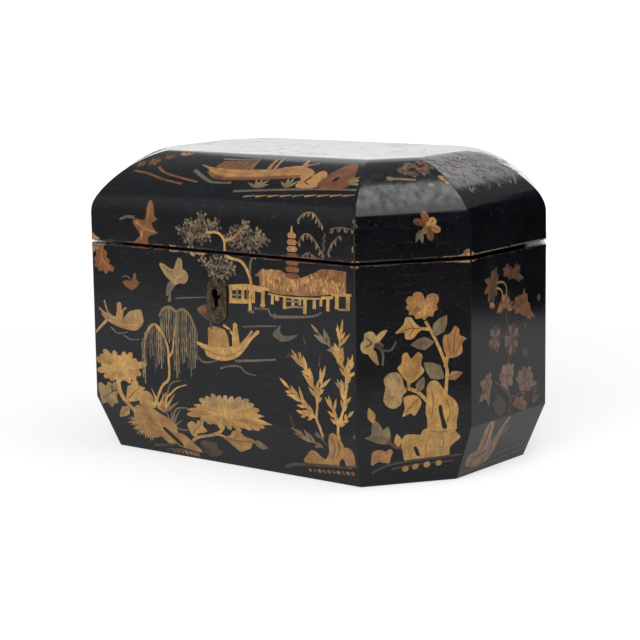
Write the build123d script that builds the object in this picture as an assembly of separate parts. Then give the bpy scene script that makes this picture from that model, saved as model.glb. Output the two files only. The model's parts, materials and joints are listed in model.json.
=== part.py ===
from build123d import *
from math import asin, degrees
import os

# Lacquered wooden box with canted corners, an arched hinged lid and a box lock.
# Millimetres. X runs along the front to the right, Y to the back, Z up.
# The origin is the centre of the underside.

# Driving dimensions of the case
width = 240.0
depth = 165.0
cant_along_front = 34.0
cant_along_end = 48.0
case_height = 110.5
fold_height = 28.0
base_inset = 11.0
board = 11.0
base_thickness = 9.0

# Driving dimensions of the lid, which stands a little higher at the back than at the front
seam_front = 1.2
seam_back = 2.8
shoulder_height = 20.5
crown_rise = 25.5
crown_run = 40.0
crown_bulge = 4.6
top_thickness = 9.0

# Butt hinges at the back
hinge_margin = 11.0
leaf_length = 38.0
leaf_depth = 9.0
leaf_thickness = 1.4
knuckle_radius = 2.8
knuckle_count = 3
knuckle_gap = 0.4
pin_radius = 1.3
pin_end = 0.6
pin_fit = 0.08
hinge_screw_pitch_share = 0.34

# Wood screws, one size for the hinges and one for the lock
hinge_screw_head = 2.3
hinge_screw_shank = 1.1
hinge_screw_length = 8.0
lock_screw_head = 2.0
lock_screw_shank = 0.9
lock_screw_length = 6.5
slot_width = 0.6
slot_depth = 0.5

# Box lock let into the inside of the front wall
lock_width = 48.0
lock_height = 37.0
lock_room = 5.4
lock_plate = 1.2
cap_flange = 6.0
top_plate_thickness = 1.5
cap_screw_drops = (14.0, 33.0)

# Keyhole and its escutcheon on the front
keyhole_drop = 20.5
keyhole_head_radius = 3.0
keyhole_slot_width = 2.6
keyhole_height = 10.8
escutcheon_drop = 24.0
escutcheon_height = 22.7
escutcheon_width = 13.0
escutcheon_thickness = 0.9
escutcheon_edge = 0.3
escutcheon_pin_spacing = 17.6
escutcheon_pin_radius = 0.6
escutcheon_pin_head = 1.1
escutcheon_pin_head_height = 0.5
escutcheon_pin_length = 2.8

# Bolt, and the hooks of the link plate that it catches
bolt_travel = 4.5
bolt_gap = 0.3
bolt_bar_drop = 11.0
bolt_bar_height = 6.0
bolt_bar_left = -12.0
bolt_lug = 3.0
talon_width = 5.0
talon_depth = 3.0
hook_places = (-15.0, 7.0)
hook_stem = 2.4
hook_toe = 4.5
hook_depth = 2.6
hook_drop = 8.0
hook_toe_height = 2.4
hook_gap = 0.5
hook_slot_gap = 0.6
link_length = 54.0
link_depth = 7.0
link_thickness = 1.5
link_lift = 0.4
link_screw_spacing = 46.0
ledge_length = 12.0
ledge_height = 1.2
spring_thickness = 0.5
spring_length = 15.0
spring_rise = 1.6
spring_depth = 2.6

# How far cutting tools and mitre wedges run past the wood
overrun = 5.0

SIDES = ("front", "front_right", "right_end", "back_right", "back", "back_left", "left_end", "front_left")

# Levels and planes worked out from the driving dimensions
cant_length = (cant_along_front**2 + cant_along_end**2) ** 0.5
shoulder_z = case_height + shoulder_height
top_z = shoulder_z + crown_rise
front_face = -depth / 2
back_face = depth / 2
front_inner_face = front_face + board


def plan(inset):
    """The eight corners of the octagon that lies a set distance inside the outer faces."""
    front_x = width / 2 - cant_along_front - inset * (cant_length - cant_along_front) / cant_along_end
    front_y = depth / 2 - inset
    end_x = width / 2 - inset
    end_y = depth / 2 - cant_along_end - inset * (cant_length - cant_along_end) / cant_along_front
    right = [(front_x, -front_y), (end_x, -end_y), (end_x, end_y), (front_x, front_y)]
    left = [(-x, -y) for x, y in right]
    return [left[-1], *right, *left[:-1]]


def box_between(low, high):
    """A plain block from its lowest corner to its highest corner."""
    size = [b - a for a, b in zip(low, high)]
    return Pos(*low) * Box(*size, align=(Align.MIN, Align.MIN, Align.MIN))


def frustum(low_inset, high_inset, low, high):
    """A solid octagon between two levels, whose outline may change on the way up."""
    lower = Pos(0, 0, low) * make_face(Polyline(*plan(low_inset), close=True))
    upper = Pos(0, 0, high) * make_face(Polyline(*plan(high_inset), close=True))
    return loft([lower, upper], ruled=True)


def mitred(profile, index):
    """A board along one side of the octagon, from its section, mitred at both ends."""
    outer = plan(-overrun)
    inner = plan(crown_run + overrun)
    following = (index + 1) % len(SIDES)
    wedge_points = (outer[index], outer[following], inner[following], inner[index])
    wedge = extrude(make_face(Polyline(*wedge_points, close=True)), amount=top_z + overrun)
    start = Vector(*plan(0)[index])
    end = Vector(*plan(0)[following])
    along = (end - start).normalized()
    inward = Vector(-along.Y, along.X, 0)
    section = Plane(origin=(start + end) * 0.5, x_dir=inward, z_dir=along)
    return extrude(section * profile, amount=width, both=True) & wedge


def outline(*points):
    """A flat face through points, each given as its inset and its height."""
    return make_face(Polyline(*points, close=True))


def screw(head, shank, length):
    """A slotted countersunk wood screw that points down, its head's face at the origin."""
    sink = head - shank
    body = Pos(0, 0, -sink / 2) * Cone(shank, head, sink)
    body += Pos(0, 0, -length / 2) * Cylinder(shank, length)
    return body - Box(2 * head, slot_width, 2 * slot_depth)


def cut_all(shape, tools):
    """The shape with every tool taken out of it."""
    for tool in tools:
        shape = shape - tool
    return shape


# Boards of the case: upright walls, the sloping boards under them and the base
wall_section = outline((0, fold_height), (board, fold_height), (board, case_height), (0, case_height))
foot_section = outline((0, fold_height), (base_inset, 0), (base_inset + board, 0), (board, fold_height))
walls = {side: mitred(wall_section, i) for i, side in enumerate(SIDES)}
feet = {side: mitred(foot_section, i) for i, side in enumerate(SIDES)}
base_edge_low = base_inset + board
base_edge_high = base_edge_low - base_inset * base_thickness / fold_height
base_board = frustum(base_edge_low, base_edge_high, 0, base_thickness)

# Boards of the lid: upright rim, arched sides and flat top
lid_low = case_height + seam_front
rim_section = outline((0, lid_low), (board, lid_low), (board, shoulder_z), (0, shoulder_z))
crown_arch = SagittaArc((0, shoulder_z), (crown_run, top_z), crown_bulge)
crown_joint = top_z - top_thickness
crown_inside = Polyline((crown_run, top_z), (crown_run, crown_joint), (board, shoulder_z), (0, shoulder_z))
crown_section = make_face(crown_arch + crown_inside)
lid_tilt = degrees(asin((seam_back - seam_front) / depth))
tilted = Pos(0, front_face, lid_low) * Rot(lid_tilt, 0, 0) * Pos(0, -front_face, -lid_low)
rims = {side: tilted * mitred(rim_section, i) for i, side in enumerate(SIDES)}
crowns = {side: tilted * mitred(crown_section, i) for i, side in enumerate(SIDES)}
lid_top = tilted * frustum(crown_run, crown_run, crown_joint, top_z)

# Hinges, with the axis just outside the back and halfway up the open seam
hinge_y = back_face + knuckle_radius + knuckle_gap
hinge_z = case_height + seam_back / 2
lid_back_edge = case_height + seam_back
back_flat = width - 2 * cant_along_front
hinge_centre = back_flat / 2 - hinge_margin - leaf_length / 2
knuckle_pitch = leaf_length / knuckle_count
knuckle_length = knuckle_pitch - knuckle_gap


def hinge_leaf(centre, low, knuckles):
    """A leaf whose underside is at a level, with barrels at the numbered knuckle places."""
    high = low + leaf_thickness
    half = leaf_length / 2
    leaf = box_between((centre - half, back_face - leaf_depth, low), (centre + half, back_face, high))
    for place in knuckles:
        middle = centre + (place - (knuckle_count - 1) / 2) * knuckle_pitch
        left = middle - knuckle_length / 2
        leaf += box_between((left, back_face, low), (left + knuckle_length, hinge_y, high))
        leaf += Pos(middle, hinge_y, hinge_z) * Rot(0, 90, 0) * Cylinder(knuckle_radius, knuckle_length)
    bore = Pos(centre, hinge_y, hinge_z) * Rot(0, 90, 0)
    return leaf - bore * Cylinder(pin_radius + pin_fit, leaf_length + overrun)


hinge_screw = screw(hinge_screw_head, hinge_screw_shank, hinge_screw_length)
hinge_screw_y = back_face - leaf_depth / 2
hinges = {}
lower_screws = []
upper_screws = []
lower_seats = []
upper_seats = []
for name, centre in (("left", -hinge_centre), ("right", hinge_centre)):
    for step in (-1, 0, 1):
        screw_x = centre + step * hinge_screw_pitch_share * leaf_length
        lower_screws.append(Pos(screw_x, hinge_screw_y, case_height) * hinge_screw)
        upper_screws.append(Pos(screw_x, hinge_screw_y, lid_back_edge) * Rot(180, 0, 0) * hinge_screw)
    seat_left = centre - leaf_length / 2
    seat_front = back_face - leaf_depth
    lower_low = case_height - leaf_thickness
    lower_seats.append(
        box_between(
            (seat_left, seat_front, lower_low),
            (seat_left + leaf_length, back_face + overrun, case_height + overrun),
        )
    )
    upper_seats.append(
        box_between(
            (seat_left, seat_front, case_height),
            (seat_left + leaf_length, back_face + overrun, lid_back_edge + leaf_thickness),
        )
    )
    hinges[f"hinge_{name}_lower_leaf"] = cut_all(hinge_leaf(centre, lower_low, (0, 2)), lower_screws)
    hinges[f"hinge_{name}_upper_leaf"] = cut_all(hinge_leaf(centre, lid_back_edge, (1,)), upper_screws)
    pin_place = Pos(centre, hinge_y, hinge_z) * Rot(0, 90, 0)
    hinges[f"hinge_{name}_pin"] = pin_place * Cylinder(pin_radius, leaf_length + 2 * pin_end)
walls["back"] = cut_all(walls["back"], lower_seats + lower_screws)
rims["back"] = cut_all(rims["back"], upper_seats + upper_screws)

# Keyhole: a round head with a narrower slot below it, cut from the front
keyhole_z = case_height - keyhole_drop
slot_length = keyhole_height - keyhole_head_radius
keyhole_slot = Pos(0, -slot_length / 2) * Rectangle(keyhole_slot_width, slot_length)
keyhole_face = Circle(keyhole_head_radius) + keyhole_slot
keyhole_plane = Plane(origin=(0, front_face - overrun, keyhole_z), x_dir=(1, 0, 0), z_dir=(0, -1, 0))
keyhole = extrude(keyhole_plane * keyhole_face, amount=-(overrun + board - lock_plate))

# Escutcheon plate on the front, held by a pin above and a pin below the keyhole
escutcheon_z = case_height - escutcheon_drop
escutcheon_plane = Plane(origin=(0, front_face, escutcheon_z), x_dir=(1, 0, 0), z_dir=(0, -1, 0))
escutcheon_face = SlotOverall(escutcheon_height, escutcheon_width, rotation=90)
escutcheon = extrude(escutcheon_plane * escutcheon_face, amount=escutcheon_thickness)
escutcheon = chamfer(escutcheon.faces().sort_by(Axis.Y)[0].edges(), escutcheon_edge)
escutcheon_pins = []
for sign in (-1, 1):
    pin_face = Pos(0, front_face - escutcheon_thickness, escutcheon_z + sign * escutcheon_pin_spacing / 2)
    shank = pin_face * Rot(-90, 0, 0) * Cylinder(
        escutcheon_pin_radius, escutcheon_pin_length, align=(Align.CENTER, Align.CENTER, Align.MIN)
    )
    head = pin_face * Rot(90, 0, 0) * Cone(
        escutcheon_pin_head,
        escutcheon_pin_radius,
        escutcheon_pin_head_height,
        align=(Align.CENTER, Align.CENTER, Align.MIN),
    )
    escutcheon_pins.append(shank + head)
escutcheon = cut_all(escutcheon, [keyhole, *escutcheon_pins])

# Lock case: a brass tray that is open to the inside and to the top
cap_face = front_inner_face - lock_plate
tray_front = cap_face - lock_room - lock_plate
lock_middle = cap_face - lock_room / 2
tray_top = case_height - top_plate_thickness
tray_bottom = case_height - lock_height
tray = box_between((-lock_width / 2, tray_front, tray_bottom), (lock_width / 2, cap_face, tray_top))
room_half = lock_width / 2 - lock_plate
tray_room = box_between(
    (-room_half, tray_front + lock_plate, tray_bottom + lock_plate),
    (room_half, cap_face + overrun, tray_top + overrun),
)
bar_top = case_height - bolt_bar_drop
bar_bottom = bar_top - bolt_bar_height
ledge_top = bar_bottom - bolt_gap
ledge = box_between(
    (-room_half, tray_front + lock_plate, ledge_top - ledge_height),
    (-room_half + ledge_length, cap_face, ledge_top),
)
lock_case = tray - tray_room + ledge - keyhole

# Cap plate that closes the lock from the inside, and the slotted plate in the rim
cap_width = lock_width + 2 * cap_flange
cap_half = cap_width / 2
lock_cap = box_between((-cap_half, cap_face, tray_bottom), (cap_half, front_inner_face, tray_top))
top_plate = box_between((-cap_half, tray_front, tray_top), (cap_half, front_inner_face, case_height))
hook_slot_half = hook_depth / 2 + hook_slot_gap
for place in hook_places:
    slot_left = place - hook_stem / 2 - hook_slot_gap
    slot_right = place + hook_stem / 2 + hook_toe + hook_slot_gap
    top_plate -= box_between(
        (slot_left, lock_middle - hook_slot_half, tray_top - overrun),
        (slot_right, lock_middle + hook_slot_half, case_height + overrun),
    )
lock_screw = screw(lock_screw_head, lock_screw_shank, lock_screw_length)
lock_screws = []
for sign in (-1, 1):
    screw_x = sign * (lock_width + cap_flange) / 2
    lock_screws.append(Pos(screw_x, lock_middle, case_height) * lock_screw)
    for drop in cap_screw_drops:
        lock_screws.append(Pos(screw_x, front_inner_face, case_height - drop) * Rot(-90, 0, 0) * lock_screw)
lock_cap = cut_all(lock_cap, lock_screws)
top_plate = cut_all(top_plate, lock_screws)
lock_pocket = [
    box_between((-lock_width / 2, tray_front, tray_bottom), (lock_width / 2, cap_face, tray_top)),
    box_between((-cap_half, cap_face, tray_bottom), (cap_half, front_inner_face + overrun, tray_top)),
    box_between(
        (-cap_half, tray_front, tray_top),
        (cap_half, front_inner_face + overrun, case_height + overrun),
    ),
]
walls["front"] = cut_all(walls["front"], [keyhole, *lock_pocket, *lock_screws, *escutcheon_pins])

# Bolt: a bar between the plates, with two fingers that slide over the hooks' toes
bar_near = tray_front + lock_plate + bolt_gap
bar_far = cap_face - bolt_gap
toe_top = case_height - hook_drop + hook_toe_height
finger_low = toe_top + hook_gap
finger_high = tray_top - hook_gap
finger_near = lock_middle - hook_depth / 2
finger_far = lock_middle + hook_depth / 2
finger_starts = [place + hook_stem / 2 + hook_toe + hook_gap for place in hook_places]
bolt_bar_right = finger_starts[-1] + bolt_travel + bolt_lug
lock_bolt = box_between((bolt_bar_left, bar_near, bar_bottom), (bolt_bar_right, bar_far, bar_top))
lock_bolt -= box_between(
    (bolt_travel / 2 - talon_width / 2, bar_near - overrun, bar_bottom - overrun),
    (bolt_travel / 2 + talon_width / 2, bar_far + overrun, bar_bottom + talon_depth),
)
for start in finger_starts:
    lug_start = start + bolt_travel
    lug_end = lug_start + bolt_lug
    lock_bolt += box_between((start, finger_near, finger_low), (lug_start, finger_far, finger_high))
    lock_bolt += box_between((lug_start, finger_near, bar_top), (lug_end, finger_far, finger_high))

# Leaf spring from the side of the lock case, which bears on the bolt from below
spring_top = bar_bottom - bolt_gap
spring_low = spring_top - spring_rise - spring_thickness
spring_left = room_half - spring_length
spring_arch = SagittaArc((spring_left, spring_low), (room_half, spring_low), spring_rise)
spring_back = SagittaArc(
    (room_half, spring_low + spring_thickness), (spring_left, spring_low + spring_thickness), -spring_rise
)
spring_ends = [
    Line(spring_arch @ 1, spring_back @ 0),
    Line(spring_back @ 1, spring_arch @ 0),
]
spring_plane = Plane(origin=(0, lock_middle, 0), x_dir=(1, 0, 0), z_dir=(0, -1, 0))
spring_face = make_face(spring_arch + spring_back + spring_ends)
lock_spring = extrude(spring_plane * spring_face, amount=spring_depth / 2, both=True)

# Link plate under the front of the lid, with the two hooks that drop into the lock
link_low = case_height + link_lift
link_high = link_low + link_thickness
link_near = lock_middle - link_depth / 2
link_far = lock_middle + link_depth / 2
link_plate = box_between((-link_length / 2, link_near, link_low), (link_length / 2, link_far, link_high))
for place in hook_places:
    stem_left = place - hook_stem / 2
    stem_right = place + hook_stem / 2
    toe_end = stem_right + hook_toe
    hook_low = case_height - hook_drop
    link_plate += box_between((stem_left, finger_near, hook_low), (stem_right, finger_far, link_low))
    link_plate += box_between((stem_right, finger_near, hook_low), (toe_end, finger_far, toe_top))
link_screws = []
for sign in (-1, 1):
    screw_place = Pos(sign * link_screw_spacing / 2, lock_middle, link_low)
    link_screws.append(screw_place * Rot(180, 0, 0) * lock_screw)
link_plate = cut_all(link_plate, link_screws)
link_seat = box_between((-link_length / 2, link_near, case_height), (link_length / 2, link_far, link_high))
rims["front"] = cut_all(rims["front"], [link_seat, *link_screws])

# One file for each piece, and one for each set of like fasteners
nodes = {f"wall_{side}": shape for side, shape in walls.items()}
nodes.update({f"foot_{side}": shape for side, shape in feet.items()})
nodes.update({f"lid_rim_{side}": shape for side, shape in rims.items()})
nodes.update({f"lid_crown_{side}": shape for side, shape in crowns.items()})
nodes.update(hinges)
nodes["base_board"] = base_board
nodes["lid_top_board"] = lid_top
nodes["hinge_lower_screws"] = Compound(children=lower_screws)
nodes["hinge_upper_screws"] = Compound(children=upper_screws)
nodes["escutcheon"] = escutcheon
nodes["escutcheon_pins"] = Compound(children=escutcheon_pins)
nodes["lock_case"] = lock_case
nodes["lock_cap"] = lock_cap
nodes["lock_top_plate"] = top_plate
nodes["lock_bolt"] = lock_bolt
nodes["lock_spring"] = lock_spring
nodes["lock_screws"] = Compound(children=lock_screws)
nodes["link_plate"] = link_plate
nodes["link_screws"] = Compound(children=link_screws)

os.makedirs("parts", exist_ok=True)
for name, shape in nodes.items():
    export_step(shape, f"parts/{name}.step")
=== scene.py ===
import json
import math
import random

import bmesh
import bpy
from mathutils import Matrix, Vector


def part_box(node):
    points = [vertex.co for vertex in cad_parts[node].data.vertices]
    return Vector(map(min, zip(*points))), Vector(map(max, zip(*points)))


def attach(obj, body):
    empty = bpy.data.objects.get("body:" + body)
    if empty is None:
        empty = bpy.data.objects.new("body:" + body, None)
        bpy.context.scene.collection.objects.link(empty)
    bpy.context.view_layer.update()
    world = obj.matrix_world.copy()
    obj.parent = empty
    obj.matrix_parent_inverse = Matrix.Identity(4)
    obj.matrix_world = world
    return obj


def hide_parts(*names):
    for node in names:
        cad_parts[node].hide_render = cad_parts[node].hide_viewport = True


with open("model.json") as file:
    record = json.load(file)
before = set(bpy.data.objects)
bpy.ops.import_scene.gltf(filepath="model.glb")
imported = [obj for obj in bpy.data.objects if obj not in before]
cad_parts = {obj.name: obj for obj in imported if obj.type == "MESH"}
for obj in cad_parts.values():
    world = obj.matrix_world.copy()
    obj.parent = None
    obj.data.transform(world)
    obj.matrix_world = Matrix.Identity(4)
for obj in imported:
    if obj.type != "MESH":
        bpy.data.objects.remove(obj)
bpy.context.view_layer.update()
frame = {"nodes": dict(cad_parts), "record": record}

# Case boards
# Eight upright boards over eight sloping foot boards, thin softwood, mitred and glued into one carcase.
# It is primed, rubbed down and lacquered black as one skin, so only softened corners show the joints.
mm = 0.001
width = 240.0
depth = 165.0
cant_along_front = 34.0
cant_along_end = 48.0
cant_length = math.hypot(cant_along_front, cant_along_end)
case_height = 110.5
fold_height = 28.0
base_inset = 11.0
board = 11.0
corner_radius = 0.9
corner_wear = 0.62
rim_radius = 0.55
rim_wear = 0.8
fold_radius = 1.6
crisp_radius = 1.0
broad_radius = 3.0
flat_margin = 2.5
crease_angle = math.radians(40)
# The thumbed film's fade, and its share and start on the ends; its grey is in part a painted highlight.
film_and_sheen_fade = 7.0
end_film_and_sheen = 0.5
end_film_and_sheen_start = 9.0
sides = ("front", "front_right", "right_end", "back_right", "back", "back_left", "left_end", "front_left")


def corners(inset):
    """The eight corners of the plan, moved in by an inset, from the front left corner round to the right."""
    front_x = width / 2 - cant_along_front - inset * (cant_length - cant_along_front) / cant_along_end
    front_y = depth / 2 - inset
    end_x = width / 2 - inset
    end_y = depth / 2 - cant_along_end - inset * (cant_length - cant_along_end) / cant_along_front
    right = [(front_x, -front_y), (end_x, -end_y), (end_x, end_y), (front_x, front_y)]
    left = [(-x, y) for x, y in reversed(right)]
    return [left[-1]] + right + left[:-1]


def bend(before, here, after, radius):
    """A rounding at a corner: its centre, its first and last spokes, and how far it cuts each edge back."""
    into = (before - here).normalized()
    onward = (after - here).normalized()
    half_turn = (math.pi - into.angle(onward)) / 2
    cut = radius * math.tan(half_turn)
    centre = here + (into + onward).normalized() * (radius / math.cos(half_turn))
    return centre, here + into * cut - centre, here + onward * cut - centre, cut


def rounded(outline, radii, wear):
    """Rounds an outline's corners. Each point is (x, y, edge), where edge is how much a corner has worn."""
    points = []
    for i, corner in enumerate(outline):
        here = Vector(corner)
        if radii[i] == 0:
            points.append((here.x, here.y, 0.0))
            continue
        before = Vector(outline[i - 1])
        after = Vector(outline[(i + 1) % len(outline)])
        centre, first, last, cut = bend(before, here, after, radii[i])
        flats = []
        for far in (before, after):
            margin = cut + min(flat_margin, (far - here).length / 4)
            flats.append(here + (far - here).normalized() * margin)
        points.append((*flats[0], 0.0))
        steps = 3 if radii[i] < broad_radius else 8
        for step in range(steps + 1):
            spoke = first.lerp(last, step / steps).normalized() * radii[i] + centre
            points.append((*spoke, wear if radii[i] < crisp_radius else 0.0))
        points.append((*flats[1], 0.0))
    return points


def put(name, data):
    """Puts a mesh, lamp or camera into the scene as an object."""
    item = bpy.data.objects.new(name, data)
    bpy.context.scene.collection.objects.link(item)
    return item


def shell(name, profile, closed, film_and_sheen=(0, 0, 0)):
    """A skin round the eight sides. The profile's points are (inset, height, edge), up the outside.

    Its ends and canted sides are marked between two heights, in to an inset, with their share of a handled
    film whose grey is in part a painted highlight."""
    film_and_sheen_low, film_and_sheen_high, film_and_sheen_inset = film_and_sheen
    corner_points = 6
    rings = []
    for inset, height, edge in profile:
        ring = []
        for k, (x, y, corner) in enumerate(rounded(corners(inset), [corner_radius] * 8, corner_wear)):
            side = sides[((k + corner_points // 2) // corner_points - 1) % 8]
            # Share of the thumbed film here, its grey in part a painted highlight.
            film_and_sheen_share = 0.0
            in_film_and_sheen = film_and_sheen_low < height < film_and_sheen_high and inset < film_and_sheen_inset
            if in_film_and_sheen and side not in ("front", "back"):
                film_and_sheen_share = min(1.0, (film_and_sheen_high - height) / film_and_sheen_fade, (height - film_and_sheen_low) / film_and_sheen_fade)
                if side in ("right_end", "left_end"):
                    film_and_sheen_share = end_film_and_sheen if height > film_and_sheen_low + end_film_and_sheen_start else 0.0
            ring.append(((x * mm, y * mm, height * mm), max(edge, corner), film_and_sheen_share))
        rings.append(ring)
    count = len(rings[0])
    faces = []
    for row in range(len(rings) if closed else len(rings) - 1):
        low = row * count
        high = (row + 1) % len(rings) * count
        for k in range(count):
            following = (k + 1) % count
            faces.append((low + k, low + following, high + following, high + k))
    if not closed:
        faces.append(tuple(reversed(range(count))))
        faces.append(tuple(range((len(rings) - 1) * count, len(rings) * count)))
    mesh = bpy.data.meshes.new(name)
    mesh.from_pydata([point[0] for ring in rings for point in ring], [], faces)
    edges = mesh.attributes.new("edge", "FLOAT", "POINT")
    edges.data.foreach_set("value", [point[1] for ring in rings for point in ring])
    dull = mesh.attributes.new("handled_and_sheen", "FLOAT", "POINT")
    dull.data.foreach_set("value", [point[2] for ring in rings for point in ring])
    return put(name, mesh)


def box_cutter(low, high):
    """A block to cut a seat with, between two corners in metres."""
    block = bmesh.new()
    middle = (Vector(low) + Vector(high)) / 2
    size = Vector(high) - Vector(low)
    bmesh.ops.create_cube(block, size=1, matrix=Matrix.Translation(middle) @ Matrix.Diagonal(size).to_4x4())
    return block


def cut_seats(piece, blocks):
    """Cuts seats for the fittings out of a lacquered piece, then keeps its flats flat and corners soft."""
    for block in blocks:
        mesh = bpy.data.meshes.new("seat")
        block.to_mesh(mesh)
        block.free()
        cutter = put("seat", mesh)
        cut = piece.modifiers.new("seat", "BOOLEAN")
        cut.object = cutter
        cut.solver = "EXACT"
        ready = piece.evaluated_get(bpy.context.evaluated_depsgraph_get())
        piece.data = bpy.data.meshes.new_from_object(ready)
        piece.modifiers.clear()
        bpy.data.objects.remove(cutter)
    skin = bmesh.new()
    skin.from_mesh(piece.data)
    for face in skin.faces:
        face.smooth = True
    for edge in skin.edges:
        edge.smooth = edge.calc_face_angle(0) < crease_angle
    skin.to_mesh(piece.data)
    skin.free()
    piece.data.name = piece.name
    flats = piece.modifiers.new("flat faces", "WEIGHTED_NORMAL")
    flats.keep_sharp = True


def linear(colour):
    """An sRGB hex colour as the linear colour that a shader takes."""
    parts = [int(colour[i:i + 2], 16) / 255 for i in (1, 3, 5)]
    parts = [c / 12.92 if c <= 0.04045 else ((c + 0.055) / 1.055) ** 2.4 for c in parts]
    return (*parts, 1.0)


def plug(tree, node, links):
    """Gives a node's sockets, by name or number, a value or another node's output."""
    for socket, value in links.items():
        if isinstance(value, bpy.types.NodeSocket):
            tree.links.new(value, node.inputs[socket])
        else:
            node.inputs[socket].default_value = value


def add(tree, kind, links=None, stops=(), **settings):
    """Adds a node with its links and its own settings. Stops are the places and colours along a ramp."""
    node = tree.nodes.new(kind)
    for name, value in settings.items():
        setattr(node, name, value)
    plug(tree, node, links or {})
    if stops:
        while len(node.color_ramp.elements) < len(stops):
            node.color_ramp.elements.new(0.5)
        for element, (part, colour) in zip(node.color_ramp.elements, stops):
            element.position = part
            element.color = colour
    return node


def start_material(name):
    """A new material, with its nodes, its shader and the place on the piece that its patterns follow."""
    material = bpy.data.materials.new(name)
    material.use_nodes = True
    tree = material.node_tree
    place = add(tree, "ShaderNodeTexCoord").outputs["Object"]
    return material, tree, tree.nodes["Principled BSDF"], place


# Black lacquer, brushed on in many coats and polished: a deep, cool black with a soft mirror on it. Long
# waves from the rubbing bend the reflections, hairlines, specks and haze dull them, a thumbed film greys
# the lid's cants and ends, its grey in part a painted highlight, and corners have rubbed through to the
# brown undercoat and the tan ground.
wave_size = 34 * mm
haze_size = 22 * mm
scuff_size = 2.4 * mm
hairline_size = 1.6 * mm
hairline_stretch = 9.0
chip_size = 5 * mm
speck_size = 1.5 * mm
smear_size = 6 * mm
lacquer, tree, shader, place = start_material("black_lacquer")
haze = add(tree, "ShaderNodeTexNoise", {"Vector": place, "Scale": 1 / haze_size, "Detail": 4.0})
chips = add(tree, "ShaderNodeTexNoise", {"Vector": place, "Scale": 1 / chip_size, "Detail": 5.0,
                                         "Roughness": 0.65})
edge = add(tree, "ShaderNodeAttribute", attribute_name="edge")
worn = add(tree, "ShaderNodeMath", {0: edge.outputs["Fac"], 1: chips.outputs["Fac"]}, operation="MULTIPLY")
bare = add(tree, "ShaderNodeValToRGB", {"Fac": worn.outputs[0]},
           [(0.36, linear("#000000")), (0.5, linear("#ffffff"))])
tint = add(tree, "ShaderNodeValToRGB", {"Fac": haze.outputs["Fac"]},
           [(0.35, linear("#08080d")), (0.7, linear("#101016"))])
ground = add(tree, "ShaderNodeValToRGB", {"Fac": worn.outputs[0]},
             [(0.5, linear("#3a2516")), (0.72, linear("#a8845c"))])
colour = add(tree, "ShaderNodeMix", {0: bare.outputs["Color"], 6: tint.outputs["Color"],
                                     7: ground.outputs["Color"]}, data_type="RGBA")
stretch = add(tree, "ShaderNodeMapping", {"Vector": place, "Scale": (1.0, 1.0, hairline_stretch)})
hairlines = add(tree, "ShaderNodeTexNoise", {"Vector": stretch.outputs["Vector"],
                                             "Scale": 1 / hairline_size / hairline_stretch, "Detail": 6.0})
specks = add(tree, "ShaderNodeTexNoise", {"Vector": place, "Scale": 1 / speck_size, "Detail": 2.0})
specks = add(tree, "ShaderNodeMapRange", {"Value": specks.outputs["Fac"], "From Min": 0.6, "From Max": 0.72,
                                          "To Min": 0.0, "To Max": 0.06})
scratches = add(tree, "ShaderNodeMapRange", {"Value": hairlines.outputs["Fac"], "From Min": 0.58,
                                             "From Max": 0.68, "To Min": 0.0, "To Max": 0.025})
marks = add(tree, "ShaderNodeMath", {0: specks.outputs["Result"], 1: scratches.outputs["Result"]},
            operation="ADD")
gloss = add(tree, "ShaderNodeMapRange", {"Value": haze.outputs["Fac"], "From Min": 0.3, "From Max": 0.75,
                                         "To Min": 0.1, "To Max": 0.2})
rubbed = add(tree, "ShaderNodeMath", {0: bare.outputs["Color"], 1: 0.4, 2: gloss.outputs["Result"]},
             operation="MULTIPLY_ADD")
waves = add(tree, "ShaderNodeTexNoise", {"Vector": place, "Scale": 1 / wave_size, "Detail": 2.0})
scuffs = add(tree, "ShaderNodeTexNoise", {"Vector": place, "Scale": 1 / scuff_size, "Detail": 5.0})
relief = add(tree, "ShaderNodeBump", {"Height": waves.outputs["Fac"], "Distance": 0.12 * mm,
                                      "Strength": 0.6})
relief = add(tree, "ShaderNodeBump", {"Height": scuffs.outputs["Fac"], "Distance": 0.02 * mm,
                                      "Strength": 0.6, "Normal": relief.outputs["Normal"]})
relief = add(tree, "ShaderNodeBump", {"Height": hairlines.outputs["Fac"], "Distance": 0.01 * mm,
                                      "Strength": 0.5, "Normal": relief.outputs["Normal"]})
# The thumbed film on the lid's cants and ends: smears of pale grey in the black, partly dust and partly a
# painted highlight where the lamps shine on those arches, with a clear coat over them.
film_and_sheen_attribute = add(tree, "ShaderNodeAttribute", attribute_name="handled_and_sheen")
smears = add(tree, "ShaderNodeMapping", {"Vector": place, "Scale": (1.5, 1.5, 1.0)})
smears = add(tree, "ShaderNodeTexNoise", {"Vector": smears.outputs["Vector"], "Scale": 1 / smear_size,
                                          "Detail": 3.0, "Roughness": 0.5})
film_and_sheen = add(tree, "ShaderNodeMapRange", {"Value": smears.outputs["Fac"], "From Min": 0.34,
                                        "From Max": 0.67, "To Min": 0.0, "To Max": 1.0})
film_and_sheen = add(tree, "ShaderNodeMath", {0: film_and_sheen.outputs["Result"], 1: film_and_sheen_attribute.outputs["Fac"]},
           operation="MULTIPLY")
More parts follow.
